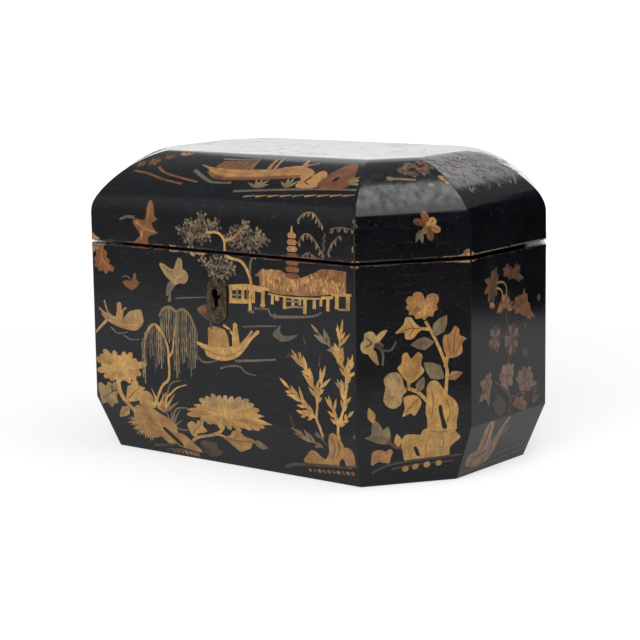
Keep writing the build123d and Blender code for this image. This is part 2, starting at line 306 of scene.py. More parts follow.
# Specks and hairline scratches, with the film's grey, which is in part a painted highlight.
dust_and_sheen = add(tree, "ShaderNodeMath", {0: film_and_sheen.outputs[0], 1: 0.05, 2: marks.outputs[0]},
             operation="MULTIPLY_ADD")
colour_with_dust_and_sheen = add(tree, "ShaderNodeMix", {0: dust_and_sheen.outputs[0], 6: colour.outputs[2], 7: linear("#8c8a88")},
            data_type="RGBA")
smeared = add(tree, "ShaderNodeMath", {0: smears.outputs["Fac"], 1: film_and_sheen_attribute.outputs["Fac"]},
              operation="MULTIPLY")
relief = add(tree, "ShaderNodeBump", {"Height": smeared.outputs[0], "Distance": 0.12 * mm, "Strength": 0.6,
                                      "Normal": relief.outputs["Normal"]})
plug(tree, shader, {"Base Color": colour_with_dust_and_sheen.outputs[2], "Roughness": rubbed.outputs[0], "IOR": 1.4,
                    "Coat Weight": film_and_sheen.outputs[0], "Coat Roughness": 0.3,
                    "Normal": relief.outputs["Normal"]})

case_corners = [(base_inset, 0), (0, fold_height), (0, case_height), (board, case_height),
                (board, fold_height), (base_inset + board, 0)]
case_radii = [rim_radius, fold_radius, rim_radius, rim_radius, fold_radius, rim_radius]
case = shell("case_boards", rounded(case_corners, case_radii, rim_wear), True)
slack = 0.03 * mm
past = 2 * mm
key_height = 90.0
key_radius = 3.0
key_slot_half = 1.3
key_bottom = 82.2


def seat(node, opening=(0, 0, 0)):
    """A block to cut a fitting's seat with: the fitting's box and a little slack, open past some sides."""
    low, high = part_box(node)
    room = Vector((slack, slack, slack))
    return box_cutter(low - room, high + room + Vector(opening))


seats = [seat("lock_case"), seat("lock_cap", (0, past, 0)), seat("lock_top_plate", (0, past, past))]
seats += [seat(f"hinge_{hand}_lower_leaf") for hand in ("left", "right")]
lock_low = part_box("lock_case")[0]
front_face = -depth / 2 * mm
seats.append(box_cutter((-key_slot_half * mm, front_face - past, key_bottom * mm),
                        (key_slot_half * mm, lock_low.y, key_height * mm)))
key_head = bmesh.new()
turned = Matrix.Translation((0, front_face, key_height * mm)) @ Matrix.Rotation(math.radians(90), 4, "X")
bmesh.ops.create_cone(key_head, cap_ends=True, segments=24, radius1=key_radius * mm,
                      radius2=key_radius * mm, depth=2 * (lock_low.y - front_face), matrix=turned)
seats.append(key_head)
cut_seats(case, seats)
case.data.materials.append(lacquer)
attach(case, "case")
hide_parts(*[f"wall_{side}" for side in sides], *[f"foot_{side}" for side in sides])

# Base board
# One flat board let in between the feet and glued, lacquered black like the case and scuffed underneath.
base = frame["nodes"]["base_board"]
base.data.materials.clear()
base.data.materials.append(lacquer)

# Lid boards
# Eight upright rim boards, eight arched boards above them and a flat top board, glued up as a shallow
# dome and lacquered with the case. The whole lid sits a little higher at the hinges than at the front.
lid_low = 111.7
shoulder = 131.0
crown_rise = 25.5
crown_run = 40.0
crown_bulge = 4.6
ceiling = 147.5
seam_front = 1.2
seam_back = 2.8
arch_parts = 24
shoulder_radius = 15.0
shoulder_parts = 4
top_margin = 6.0
# Heights and inset of the lid's thumbed film, whose grey is in part a painted highlight.
lid_film_and_sheen = (shoulder + 2, shoulder + 21, crown_run - 8)
lid_turn = math.asin((seam_back - seam_front) / depth)
lid_line = Vector((0, front_face, lid_low * mm))
lid_tilt = Matrix.Translation(lid_line) @ Matrix.Rotation(lid_turn, 4, "X") @ Matrix.Translation(-lid_line)
chord = Vector((crown_run, crown_rise))
arch_radius = (chord.length ** 2 / 4 + crown_bulge ** 2) / (2 * crown_bulge)
arch_out = Vector((-chord.y, chord.x)).normalized()
arch_centre = Vector((0, shoulder)) + chord / 2 - arch_out * (arch_radius - crown_bulge)
arch_half = math.asin(chord.length / 2 / arch_radius)
arch_start = math.atan2(shoulder - arch_centre.y, -arch_centre.x)


def arch(part):
    """A point on the lid's arch, as inset and height, from the shoulder at 0 to the flat top at 1."""
    turn = arch_start - 2 * arch_half * part
    return arch_centre + arch_radius * Vector((math.cos(turn), math.sin(turn)))


lid_outline = [(crown_run, ceiling), (board, shoulder), (board, lid_low), (0, lid_low), (0, shoulder)]
lid_radii = [0, fold_radius, rim_radius, rim_radius, shoulder_radius]
for part in range(shoulder_parts, arch_parts):
    lid_outline.append(tuple(arch(part / arch_parts)))
    lid_radii.append(0)
lid_outline += [tuple(arch(1)), (crown_run + top_margin, shoulder + crown_rise)]
lid_radii += [0, 0]
shoulder_bend = bend(Vector((0, lid_low)), Vector((0, shoulder)), arch(shoulder_parts / arch_parts),
                     shoulder_radius)
lid = shell("lid_boards", rounded(lid_outline, lid_radii, rim_wear), False, lid_film_and_sheen)
lid.data.transform(lid_tilt)
cut_seats(lid, [seat("link_plate")] + [seat(f"hinge_{hand}_upper_leaf") for hand in ("left", "right")])
lid.data.materials.append(lacquer)
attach(lid, "lid")
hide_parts(*[f"lid_rim_{side}" for side in sides], *[f"lid_crown_{side}" for side in sides],
            "lid_top_board")

# Brass fittings
# Two butt hinges let into the back, the keyhole plate pinned to the front, and the lock's case and hooked
# link plate, cut and folded from sheet brass. Brown tarnish over the flats, paler where they have rubbed.
brass, tree, shader, place = start_material("tarnished_brass")
tarnish_size = 3.5 * mm
pit_size = 0.7 * mm
tarnish = add(tree, "ShaderNodeTexNoise", {"Vector": place, "Scale": 1 / tarnish_size, "Detail": 5.0,
                                          "Roughness": 0.65})
tone = add(tree, "ShaderNodeValToRGB", {"Fac": tarnish.outputs["Fac"]},
           [(0.36, linear("#2e261d")), (0.68, linear("#6e5f4a"))])
dull = add(tree, "ShaderNodeMapRange", {"Value": tarnish.outputs["Fac"], "To Min": 0.62, "To Max": 0.38})
pits = add(tree, "ShaderNodeTexNoise", {"Vector": place, "Scale": 1 / pit_size, "Detail": 3.0})
relief = add(tree, "ShaderNodeBump", {"Height": pits.outputs["Fac"], "Distance": 0.04 * mm,
                                      "Strength": 0.5})
plug(tree, shader, {"Base Color": tone.outputs["Color"], "Metallic": 0.85,
                    "Roughness": dull.outputs["Result"], "Normal": relief.outputs["Normal"]})

# Steel bolt, pins and screws
# The lock's sliding bolt and its spring, the hinge pins, and the slotted screws that hold the hinges and
# the lock. Filed from steel, bright once and now grey, with the file's fine lines along them.
steel, tree, shader, place = start_material("dull_steel")
file_line = 0.5 * mm
rust_size = 4 * mm
along = add(tree, "ShaderNodeMapping", {"Vector": place, "Scale": (0.06, 1.0, 1.0)})
lines = add(tree, "ShaderNodeTexNoise", {"Vector": along.outputs["Vector"], "Scale": 1 / file_line,
                                         "Detail": 3.0})
rust = add(tree, "ShaderNodeTexNoise", {"Vector": place, "Scale": 1 / rust_size, "Detail": 5.0})
tone = add(tree, "ShaderNodeValToRGB", {"Fac": rust.outputs["Fac"]},
           [(0.33, linear("#5c5048")), (0.55, linear("#8d8b88"))])
dull = add(tree, "ShaderNodeMapRange", {"Value": lines.outputs["Fac"], "To Min": 0.3, "To Max": 0.55})
relief = add(tree, "ShaderNodeBump", {"Height": lines.outputs["Fac"], "Distance": 0.02 * mm,
                                      "Strength": 0.4})
plug(tree, shader, {"Base Color": tone.outputs["Color"], "Metallic": 0.9,
                    "Roughness": dull.outputs["Result"], "Normal": relief.outputs["Normal"]})
metals = {"brass": brass, "steel": steel}
for row in frame["record"]["subparts"]:
    if row["material_slot"] in metals:
        fitting = frame["nodes"][row["node"]]
        fitting.data.materials.clear()
        fitting.data.materials.append(metals[row["material_slot"]])

# Gilding
# Gold powders dusted on wet lacquer, burnished and varnished over, in eight golds from bright yellow to thin
# brown. Drawn on the unrolled faces in millimetres, u across a face and s up it from the foot's lower edge,
# and laid as thin skins just proud of the lacquer.
foot_slope = math.hypot(base_inset, fold_height)
rim_level = foot_slope + case_height - fold_height
lid_level = rim_level + seam_front
shoulder_level = lid_level + shoulder - lid_low
brow_level = shoulder_level + 2 * arch_half * arch_radius
case_lip = rim_level - 0.6
lid_lip = lid_level + 0.7
mitre_margin = 0.7
foot_margin = 0.9
rim_margin = 0.35
lid_margin = 0.4
top_reach = 40.0
skin_depth = 0.2
shape_step = 0.0002
shape_steps = 19


def on_profile(s):
    """Inset, height and outward direction of the outside at a level on the unrolled face."""
    foot_out = Vector((-fold_height, -base_inset)) / foot_slope
    upright_out = Vector((-1, 0))
    bend_centre, bend_first, bend_last, bend_cut = shoulder_bend
    if s < foot_slope:
        part = s / foot_slope
        out = foot_out if part < 0.999 else foot_out + upright_out
        return base_inset * (1 - part), fold_height * part, out.normalized()
    if s < shoulder_level - bend_cut:
        height = fold_height + s - foot_slope if s < lid_level - seam_front / 2 else lid_low + s - lid_level
        out = foot_out + upright_out if s < foot_slope + 0.01 else upright_out
        return 0.0, height, out.normalized()
    if s < shoulder_level + bend_cut:
        part = (s - shoulder_level + bend_cut) / (2 * bend_cut)
        out = bend_first.lerp(bend_last, part).normalized()
        point = bend_centre + out * shoulder_radius
        return point.x, point.y, out
    if s < brow_level:
        point = arch((s - shoulder_level) / (brow_level - shoulder_level))
        return point.x, point.y, (point - arch_centre).normalized()
    return crown_run + s - brow_level, shoulder + crown_rise, Vector((0, 1))


def side_frame(side):
    """The middle of a side's lower wall edge, the direction along it and the direction out of it."""
    index = sides.index(side)
    plan = corners(0)
    first = Vector(plan[index])
    last = Vector(plan[(index + 1) % 8])
    along = (last - first).normalized()
    return (first + last) / 2, along, Vector((along.y, -along.x))


def side_ends(side, inset):
    """How far a side reaches to the left and right of its middle at an inset."""
    middle, along, out = side_frame(side)
    index = sides.index(side)
    plan = corners(inset)
    return [(Vector(plan[i % 8]) - middle).dot(along) for i in (index, index + 1)]


def slice_skin(skin, faces, place, out, below=False, above=False):
    """Slices part of a flat drawing along a line, and drops what lies behind or ahead of it."""
    parts = dict.fromkeys(faces)
    for face in faces:
        parts.update(dict.fromkeys(face.edges))
        parts.update(dict.fromkeys(face.verts))
    bmesh.ops.bisect_plane(skin, geom=list(parts), dist=1e-5, plane_co=(*place, 0), plane_no=(*out, 0),
                           clear_inner=below, clear_outer=above)


def band_faces(skin, low, high):
    """The faces of a flat drawing that lie between two levels."""
    return [face for face in skin.faces if low < face.calc_center_median().y < high]


def flat_drawing(drawing, finishes, low, high, mirrored):
    """The shapes of a drawing that reach between two levels, as flat faces. Each has its finish, a lift of
    its own, so that no two lie in one plane, and a tone by chance."""
    skin = bmesh.new()
    shade = skin.verts.layers.float.new("tone")
    chance = random.Random(len(drawing))
    for order, (finish, outline, layer, ladder) in enumerate(drawing):
        value = chance.random()
        points = [(-u, s) for u, s in outline] if mirrored else outline
        if max(s for u, s in points) < low or min(s for u, s in points) > high:
            continue
        lift = layer + shape_step * (order % shape_steps)
        verts = [skin.verts.new((u, s, lift)) for u, s in points]
        for vert in verts:
            vert[shade] = value
        loops = [verts]
        if ladder:
            rungs = len(verts) // 2
            loops = [(verts[i], verts[i + 1], verts[-i - 2], verts[-i - 1]) for i in range(rungs - 1)]
        for loop in loops:
            face = skin.faces.new(loop)
            face.material_index = list(finishes).index(finish)
    skin.normal_update()
    for face in skin.faces:
        if face.normal.z < 0:
            face.normal_flip()
    bmesh.ops.triangulate(skin, faces=skin.faces[:])
    return skin


def trim(skin, side, levels):
    """Cuts a flat drawing off at its end levels and at the mitres, and slices it at the levels between."""
    slice_skin(skin, skin.faces[:], (0, levels[0]), (0, 1), below=True)
    slice_skin(skin, skin.faces[:], (0, levels[-1]), (0, 1), above=True)
    for level in levels[1:-1]:
        slice_skin(skin, skin.faces[:], (0, level), (0, 1))
    for low, high in zip(levels, levels[1:]):
        ends = [side_ends(side, on_profile(level)[0]) for level in (low + 0.001, high - 0.001)]
        for hand, sign in ((0, -1), (1, 1)):
            start = Vector((ends[0][hand] - sign * mitre_margin, low))
            end = Vector((ends[1][hand] - sign * mitre_margin, high))
            run = (end - start).normalized()
            outward = Vector((run.y, -run.x)) * sign
            slice_skin(skin, band_faces(skin, low, high), start, outward, above=True)
    loose = [vert for vert in skin.verts if not vert.link_faces]
    bmesh.ops.delete(skin, geom=loose, context="VERTS")


def lay(name, side, drawing, finishes, mirrored=False):
    """Lays a drawing on one side of the box, one skin on the case and one on the lid."""
    bend_cut = shoulder_bend[3]
    case_levels = [foot_margin, foot_slope, rim_level - rim_margin]
    lid_levels = [lid_level + lid_margin] + [shoulder_level + bend_cut * i / 3 for i in range(-3, 4)]
    for i in range(shoulder_parts, arch_parts + 1):
        lid_levels.append(shoulder_level + (brow_level - shoulder_level) * i / arch_parts)
    lid_levels.append(brow_level + top_reach)
    middle, along, out = side_frame(side)
    for body, levels in (("case", case_levels), ("lid", lid_levels)):
        skin = flat_drawing(drawing, finishes, levels[0], levels[-1], mirrored)
        trim(skin, side, levels)
        if not skin.faces:
            skin.free()
            continue
        for vert in skin.verts:
            u, s, lift = vert.co
            inset, height, normal = on_profile(s)
            flat = middle + along * u - out * (inset + normal.x * lift)
            vert.co = Vector((flat.x, flat.y, height + normal.y * lift)) * mm
        mesh = bpy.data.meshes.new(f"{name}_{body}")
        skin.to_mesh(mesh)
        skin.free()
        if body == "lid":
            mesh.transform(lid_tilt)
        for finish in finishes.values():
            mesh.materials.append(finish)
        piece = put(mesh.name, mesh)
        thick = piece.modifiers.new("skin", "SOLIDIFY")
        thick.thickness = skin_depth * mm
        thick.offset = -1
        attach(piece, body)


def between_knots(a, b, c, d, t):
    """A point on the smooth line from b to c, a share t of the way, where a comes before and d after."""
    return 0.5 * (2 * b + (c - a) * t + (2 * a - 5 * b + 4 * c - d) * t ** 2
                  + (3 * b - a - 3 * c + d) * t ** 3)


def smooth_path(points, steps=5):
    """A smooth line through given points."""
    if len(points) < 3:
        return [Vector(point) for point in points]
    knots = [Vector(point) for point in points]
    knots = [2 * knots[0] - knots[1]] + knots + [2 * knots[-1] - knots[-2]]
    path = []
    for four in zip(knots, knots[1:], knots[2:], knots[3:]):
        path += [between_knots(*four, step / steps) for step in range(steps)]
    path.append(knots[-2])
    return path


def stroke(drawing, finish, points, wide, tip=0.5, layer=0.08):
    """A brush stroke along given points, from its full width to a share of it at the tip."""
    path = smooth_path(points)
    left = []
    right = []
    for i, point in enumerate(path):
        run = (path[min(i + 1, len(path) - 1)] - path[max(i - 1, 0)]).normalized()
        half = wide / 2 * (1 + (tip - 1) * i / (len(path) - 1))
        across = Vector((-run.y, run.x)) * half
        left.append(tuple(point + across))
        right.append(tuple(point - across))
    drawing.append((finish, left + right[::-1], layer, True))


def strokes(drawing, finish, lines, wide, tip=0.5, layer=0.08):
    """Several brush strokes alike."""
    for line in lines:
        stroke(drawing, finish, line, wide, tip, layer)


def mass(drawing, finish, points, layer=0.06, between=2):
    """A filled shape drawn through given points, with a few more between them to round it."""
    ring = [Vector(point) for point in points]
    outline = []
    for i in range(len(ring)):
        four = [ring[(i + k) % len(ring)] for k in (-1, 0, 1, 2)]
        outline += [tuple(between_knots(*four, step / (between + 1))) for step in range(between + 1)]
    drawing.append((finish, outline, layer, False))


leaf_form = ((0, 0.1), (0.15, 0.55), (0.4, 1.0), (0.7, 0.7), (0.88, 0.32), (1, 0.02))
petal_form = ((0, 0.25), (0.25, 0.7), (0.55, 1.0), (0.8, 0.92), (0.94, 0.55), (1, 0.12))


def blade(drawing, finish, base, tip, wide, layer=0.08, form=leaf_form, vein=None):
    """A leaf or petal from base to tip, with a vein scratched along it where a vein's finish is given."""
    base = Vector(base)
    run = Vector(tip) - base
    across = Vector((-run.y, run.x)).normalized() * wide / 2
    left = [tuple(base + run * t + across * share) for t, share in form]
    right = [tuple(base + run * t - across * share) for t, share in form]
    drawing.append((finish, left + right[::-1], layer, True))
    if vein:
        stroke(drawing, vein, [base + run * 0.08, base + run * 0.85], 0.5, 0.3, layer + 0.05)


def disc(drawing, finish, middle, across, layer=0.12, parts=10):
    """A dot of gold."""
    ring = [math.tau * i / parts for i in range(parts)]
    drawing.append((finish, [(middle[0] + across / 2 * math.cos(a), middle[1] + across / 2 * math.sin(a))
                             for a in ring], layer, False))


def scallop(drawing, finish, middle, half_wide, half_high, lobes, notch, layer=0.06, turn=0.0):
    """A round flower or leaf cluster with a scalloped rim."""
    outline = []
    for i in range(lobes * 8):
        angle = math.tau * i / (lobes * 8)
        reach = 1 - notch * (1 - abs(math.cos(lobes * angle / 2)))
        outline.append((middle[0] + half_wide * reach * math.cos(angle + turn),
                        middle[1] + half_high * reach * math.sin(angle + turn)))
    drawing.append((finish, outline, layer, False))


def bloom(drawing, finishes, heart, tips, wide, line, layer=0.05):
    """A many-petalled flower: a filled middle, a petal out to each tip, and a line down every other one."""
    heart = Vector(heart)
    reaches = [Vector(tip) - heart for tip in tips]
    mass(drawing, finishes[0], [heart + reach * 0.78 for reach in reaches], layer)
    for i, reach in enumerate(reaches):
        finish = finishes[-1] if reach.y > 5 else finishes[0]
        form = leaf_form if abs(reach.x) > 7 * abs(reach.y) else petal_form
        blade(drawing, finish, heart + reach * 0.4, heart + reach, wide, layer + 0.02 + 0.006 * (i % 5),
              form)
        if i % 2:
            stroke(drawing, line, [heart + reach * 0.34, heart + reach * 0.66], 0.5, 0.4, layer + 0.08)


def tuft(drawing, finishes, middle, reach, wide, count, turn=0.0, layer=0.08):
    """A ragged flower or tuft: pointed petals of uneven length round a middle."""
    for k in range(count):
        angle = math.tau * k / count + turn
        far = reach * (0.72 + 0.28 * (k * 5 % 7) / 6)
        aim = Vector((math.cos(angle), math.sin(angle))) * far
        finish = finishes[k % len(finishes)]
        blade(drawing, finish, Vector(middle) + aim * 0.12, Vector(middle) + aim, wide,
              layer + 0.008 * (k % 4))


def foliage(drawing, finishes, clumps, size):
    """A tree's crown as it is painted: clumps of small lobes, lighter on top, with black between."""
    for i, clump in enumerate(clumps):
        grown = size * (0.85 + 0.3 * (i * 7 % 5) / 4)
        scallop(drawing, "black", clump, grown * 0.9, grown * 0.8, 7, 0.35, 0.05 + 0.004 * (i % 4), i)
        for k in range(8):
            angle = k * 2.4 + i * 0.9
            spot = Vector(clump) + Vector((math.cos(angle), math.sin(angle))) * grown * math.sqrt(k / 8)
            finish = finishes[0] if spot.y > clump[1] - 0.3 and k % 3 else finishes[1 + k % 2]
            aim = (spot - Vector(clump) + Vector((0.01, 0.3))).normalized() * grown * 0.44
            blade(drawing, finish, spot - aim * 0.6, spot + aim, grown * 0.54, 0.08 + 0.004 * k, petal_form)


def spray(drawing, finish, points, leaf, gap, wide=1.9):
    """A leafy twig: narrow leaves in pairs along it and one at its end."""
    path = smooth_path(points, 12)
    stroke(drawing, finish, points, wide * 0.6, 0.6, 0.07)
    walked = gap * 0.6
    for i, (here, following) in enumerate(zip(path, path[1:])):
        run = (following - here).normalized()
        walked += (following - here).length
        if walked > gap:
            walked -= gap
            for side, back in ((1, 0.0), (-1, 0.4)):
                lean = 18 + 8 * ((i * 3 + side) % 4)
                far = leaf * (0.6 + 0.18 * ((i * 5 + 2 * side) % 4))
                base = following - run * gap * back
                aim = Matrix.Rotation(side * math.radians(lean), 2) @ run
                blade(drawing, finish, base, base + aim * far, wide, 0.08 + 0.004 * (i % 7))
    run = (path[-1] - path[-2]).normalized()
    blade(drawing, finish, path[-1], path[-1] + run * leaf, wide, 0.1)


# Gold powder, scattered, burnished and varnished: grainy and satin under a clear coat, thin enough in places
# to let the black through, each petal a little lighter or darker than the next.
gold_colours = {
    "gold": ("#9c7034", "#dcaa60"),
    "pale_gold": ("#8a6b41", "#c8a26a"),
    "amber": ("#855930", "#c68d54"),
    "red_gold": ("#5c3215", "#96592b"),
    "straw": ("#68553a", "#9c835c"),
    "olive_gold": ("#443a2f", "#786b55"),
    "brown_gold": ("#30241b", "#5a4534"),
    "dusty_gold": ("#5e4538", "#9c7763"),
}
grain_size = 0.9 * mm
streak_size = 1.4 * mm
cloud_size = 6 * mm
finishes = {}
for name, (dark, light) in gold_colours.items():
    powder, tree, shader, place = start_material(f"{name}_powder")
    grain = add(tree, "ShaderNodeTexNoise", {"Vector": place, "Scale": 1 / grain_size, "Detail": 4.0})
    cloud = add(tree, "ShaderNodeTexNoise", {"Vector": place, "Scale": 1 / cloud_size, "Detail": 4.0})
    each = add(tree, "ShaderNodeAttribute", attribute_name="tone")
    blend = add(tree, "ShaderNodeMath", {0: each.outputs["Fac"], 1: 0.3, 2: -0.15},
                operation="MULTIPLY_ADD")
    blend = add(tree, "ShaderNodeMath", {0: cloud.outputs["Fac"], 1: blend.outputs[0]}, operation="ADD")
    body_colour = add(tree, "ShaderNodeValToRGB", {"Fac": blend.outputs[0]},
                      [(0.2, linear(dark)), (0.7, linear(light))])
    brushed = add(tree, "ShaderNodeMapping", {"Vector": place, "Rotation": (0, math.radians(24), 0),
                                              "Scale": (1.0, 1.0, 0.24)})
    streaks = add(tree, "ShaderNodeTexNoise", {"Vector": brushed.outputs["Vector"],
                                               "Scale": 1 / streak_size, "Detail": 3.0})
    marks = add(tree, "ShaderNodeMapRange", {"Value": streaks.outputs["Fac"], "From Min": 0.48,
                                             "From Max": 0.62, "To Min": 0.0, "To Max": 0.4})
    streaked = add(tree, "ShaderNodeMix", {0: marks.outputs["Result"], 6: body_colour.outputs["Color"],
                                           7: linear(dark)}, data_type="RGBA")
    thin = add(tree, "ShaderNodeMapRange", {"Value": grain.outputs["Fac"], "From Min": 0.3,
                                            "From Max": 0.42, "To Min": 0.5, "To Max": 0.0})
    colour = add(tree, "ShaderNodeMix", {0: thin.outputs["Result"], 6: streaked.outputs[2],
                                         7: linear("#2a2019")}, data_type="RGBA")
    relief = add(tree, "ShaderNodeBump", {"Height": grain.outputs["Fac"], "Distance": 0.05 * mm,
                                          "Strength": 0.5})
    plug(tree, shader, {"Base Color": colour.outputs[2], "Metallic": 0.2, "Roughness": 0.5,
                        "Coat Weight": 0.4, "Coat Roughness": 0.16, "Normal": relief.outputs["Normal"]})
    finishes[name] = powder
finishes["black"] = lacquer

# Bare ground, the chalky coat under the lacquer: matt, cream to orange-tan, grimy at its edges.
ground_size = 2.5 * mm
ground, tree, shader, place = start_material("chalk_ground")
grime = add(tree, "ShaderNodeTexNoise", {"Vector": place, "Scale": 1 / ground_size, "Detail": 5.0,
                                         "Roughness": 0.7})
tone = add(tree, "ShaderNodeValToRGB", {"Fac": grime.outputs["Fac"]},
           [(0.36, linear("#4a2c1a")), (0.62, linear("#c49b72"))])
relief = add(tree, "ShaderNodeBump", {"Height": grime.outputs["Fac"], "Distance": 0.1 * mm,
                                      "Strength": 0.6})
plug(tree, shader, {"Base Color": tone.outputs["Color"], "Roughness": 0.8,
                    "Normal": relief.outputs["Normal"]})
finishes["ground"] = ground

# Landscape on the front and back
# A lake shore in gold: boats, a willow, a pavilion on a terrace with a pagoda behind, bamboo over rocks,
# chrysanthemums below, and birds and a butterfly between. The seam and corners have chipped to the ground.
landscape = []
d = landscape

# The left chrysanthemum with its leaves, and the rock, grass and reeds under it
bloom(d, ("gold",), (-68, 47.6), (
    (-49.6, 51), (-56, 52.6), (-59.4, 56), (-64.6, 56.2), (-68.4, 54), (-73, 56), (-76.6, 53.6),
    (-80.4, 55.8), (-83, 52.6), (-86, 50.6), (-82.4, 47.4), (-85, 44.2), (-80.4, 41.2), (-76, 39.8),
    (-72.4, 40.8), (-69, 39.6), (-64.6, 40.8), (-61, 40), (-57, 42.4), (-53.4, 45.4)), 3.6, "amber")
stroke(d, "gold", [(-70.6, 42), (-69, 35), (-65.4, 30), (-60, 24)], 3.0, 0.8)
mass(d, "pale_gold", [
    (-85, 36), (-83, 38), (-79, 36.4), (-77.4, 39), (-74.4, 38), (-73, 39.6), (-70.6, 37.6),
    (-69.6, 34.5), (-71.4, 32), (-71, 28), (-74, 27.2), (-77, 24.2), (-79.6, 27.2), (-84, 25.4),
    (-83.6, 30)])
stroke(d, "black", [(-71, 35.4), (-75, 33.6), (-81, 30)], 0.6, 0.4, 0.14)
stroke(d, "black", [(-74.8, 37), (-74.6, 34)], 0.8, 0.6, 0.14)
mass(d, "gold", [
    (-64, 30), (-63.6, 37.5), (-61, 39), (-59.8, 41.2), (-56.4, 41.6), (-55, 39.2), (-51, 38.6),
    (-52.8, 36), (-53, 32.8), (-56, 31.2)])
stroke(d, "red_gold", [(-63, 31.4), (-58.6, 35.4), (-55, 38.4)], 0.6, 0.4, 0.14)
blade(d, "gold", (-63.6, 26.6), (-73.6, 19), 5.6, vein="red_gold")
mass(d, "gold", [(-55, 29), (-54.4, 34.4), (-51, 37), (-47, 35.8), (-44.8, 32), (-45.4, 28.4), (-50, 27.4)])
mass(d, "gold", [
    (-61.4, 25), (-57.6, 28.4), (-54, 28.6), (-46, 27.4), (-42, 25), (-37, 23), (-33, 19), (-33.6, 15),
    (-30, 14.4), (-26, 11), (-20.4, 5.6), (-22, 4.4), (-27, 5), (-34, 6), (-38, 7.6), (-40.6, 6.2),
    (-44, 7.8), (-47, 10.4), (-52, 8.8), (-57, 11), (-60, 14), (-62.4, 19)], 0.08)
mass(d, "black", [(-43.8, 15.8), (-42, 17), (-38.6, 14), (-32.6, 7.6), (-34.8, 6.8), (-40, 11.6)], 0.2)
strokes(d, "amber", (
    [(-55, 28.6), (-51, 28.4), (-46.4, 28.2)], [(-58, 24), (-52, 22), (-48, 16)],
    [(-46, 24), (-43, 20), (-44, 17)]), 0.8, 0.4, 0.15)
for k in range(15):
    angle = math.radians(162 + k * 7.4)
    far = 13.4 + 3 * (k * 3 % 5) / 4
    tip = (-53 + far * math.cos(angle), 17 + far * 0.72 * math.sin(angle))
    blade(d, ("gold", "amber", "pale_gold")[k % 3], (-53, 17), tip, 1.9, 0.05)
for tip, middle in (
        ((-30, 27), (-33, 22)), ((-27, 29.6), (-31.6, 24.6)), ((-21.6, 31.4), (-30, 29.4)),
        ((-25, 17.8), (-30, 17)), ((-33.6, 28), (-35, 24)), ((-28, 23), (-33, 20)),
        ((-37.6, 27.6), (-37, 24))):
    stroke(d, "straw", [(-36.6, 19), middle, tip], 1.3, 0.3, 0.05)
for line, wide in (([(-54, 4), (-46, 5.4), (-38, 7)], 1.7), ([(-46, 2.4), (-38, 4), (-30, 5)], 1.4)):
    stroke(d, "brown_gold", line, wide, 0.6)
for u in (-42, -39, -36, -33, -30, -27.4, -25):
    blade(d, "straw" if u > -34 else "red_gold", (u + 1.8, 1.4), (u, 4.4), 2.2, 0.07)
mass(d, "brown_gold", [
    (-20.4, 9), (-17.6, 12.4), (-12, 12.8), (-7.6, 12), (-8.4, 9), (-5.6, 7), (-9, 4.4), (-14, 3),
    (-17.4, 4.4)])
stroke(d, "black", [(-21.6, 10.8), (-19, 8), (-15.6, 5.2)], 0.9, 0.5, 0.14)

# The willow, its trunk and boughs and its hanging strands
stroke(d, "gold", [
    (-45.4, 28.6), (-42.8, 33.4), (-38.6, 41), (-34, 45.4), (-33.8, 55), (-34.4, 62), (-37.4, 68),
    (-42, 72)], 1.7, 0.7, 0.1)
stroke(d, "gold", [(-33.8, 56.4), (-31, 60), (-30, 66), (-28.4, 74)], 1.5, 0.6, 0.1)
stroke(d, "gold", [(-36.8, 30), (-36, 35), (-33, 37.4), (-28.6, 41), (-22, 43.4)], 1.8, 0.25, 0.1)
stroke(d, "gold", [(-42, 28), (-39.6, 33), (-36, 37.6)], 1.6, 0.6, 0.1)
stroke(d, "olive_gold", [(-35.6, 37), (-32.4, 43), (-25, 45.4)], 1.3, 0.3)
for tip, finish in (
        ((-46.4, 39), "gold"), ((-38.4, 38), "amber"), ((-30, 38), "gold"), ((-27.4, 34), "straw"),
        ((-48, 34.6), "straw")):
    blade(d, finish, (-39.4, 26), tip, 1.9, 0.06)
stroke(d, "gold", [(-50, 64), (-47.4, 69.6), (-43.4, 72.8), (-39, 70.6), (-35.4, 65)], 1.4, 0.7, 0.12)
stroke(d, "straw", [
    (-39.6, 77), (-36.6, 81.4), (-31.6, 82.6), (-28, 80.8), (-23.6, 82.4), (-19, 80), (-16, 75),
    (-14.6, 71)], 1.7, 0.7, 0.12)
chance = random.Random(4)
strands = (
    (-52, 65, 44), (-50.6, 68, 41), (-49.4, 70, 50), (-48, 72, 60), (-46.4, 73, 55), (-45, 73, 56),
    (-43.4, 73, 48), (-42, 72, 50), (-40.6, 72, 52), (-39, 76, 50), (-37.8, 79, 53), (-36.4, 81, 57),
    (-34.8, 82, 66), (-33.2, 82, 64), (-31.6, 82, 66), (-30, 81, 50), (-28.4, 80, 46), (-27, 81, 49),
    (-25.6, 82, 56), (-24.2, 82, 54), (-22.8, 82, 55), (-21.4, 82, 58), (-20, 80, 52), (-18.6, 79, 48),
    (-17.2, 77, 52), (-15.8, 74, 53), (-14.4, 71, 57))
for i, (u, high, low) in enumerate(strands):
    finish = ("straw", "olive_gold", "brown_gold", "olive_gold")[(i * 7 + chance.randrange(2)) % 4]
    stroke(d, finish, [(u + 0.6, high), (u, (high + low) / 2), (u + 0.2, low)], 0.95, 0.8)
    for step in range(int((high - low) / 5.5)):
        spot = high - 2 - step * 5.5
        side = 1 if (step + i) % 2 else -1
        blade(d, finish, (u + 0.1, spot), (u + side * 0.8, spot - 3.6), 0.8, 0.1)

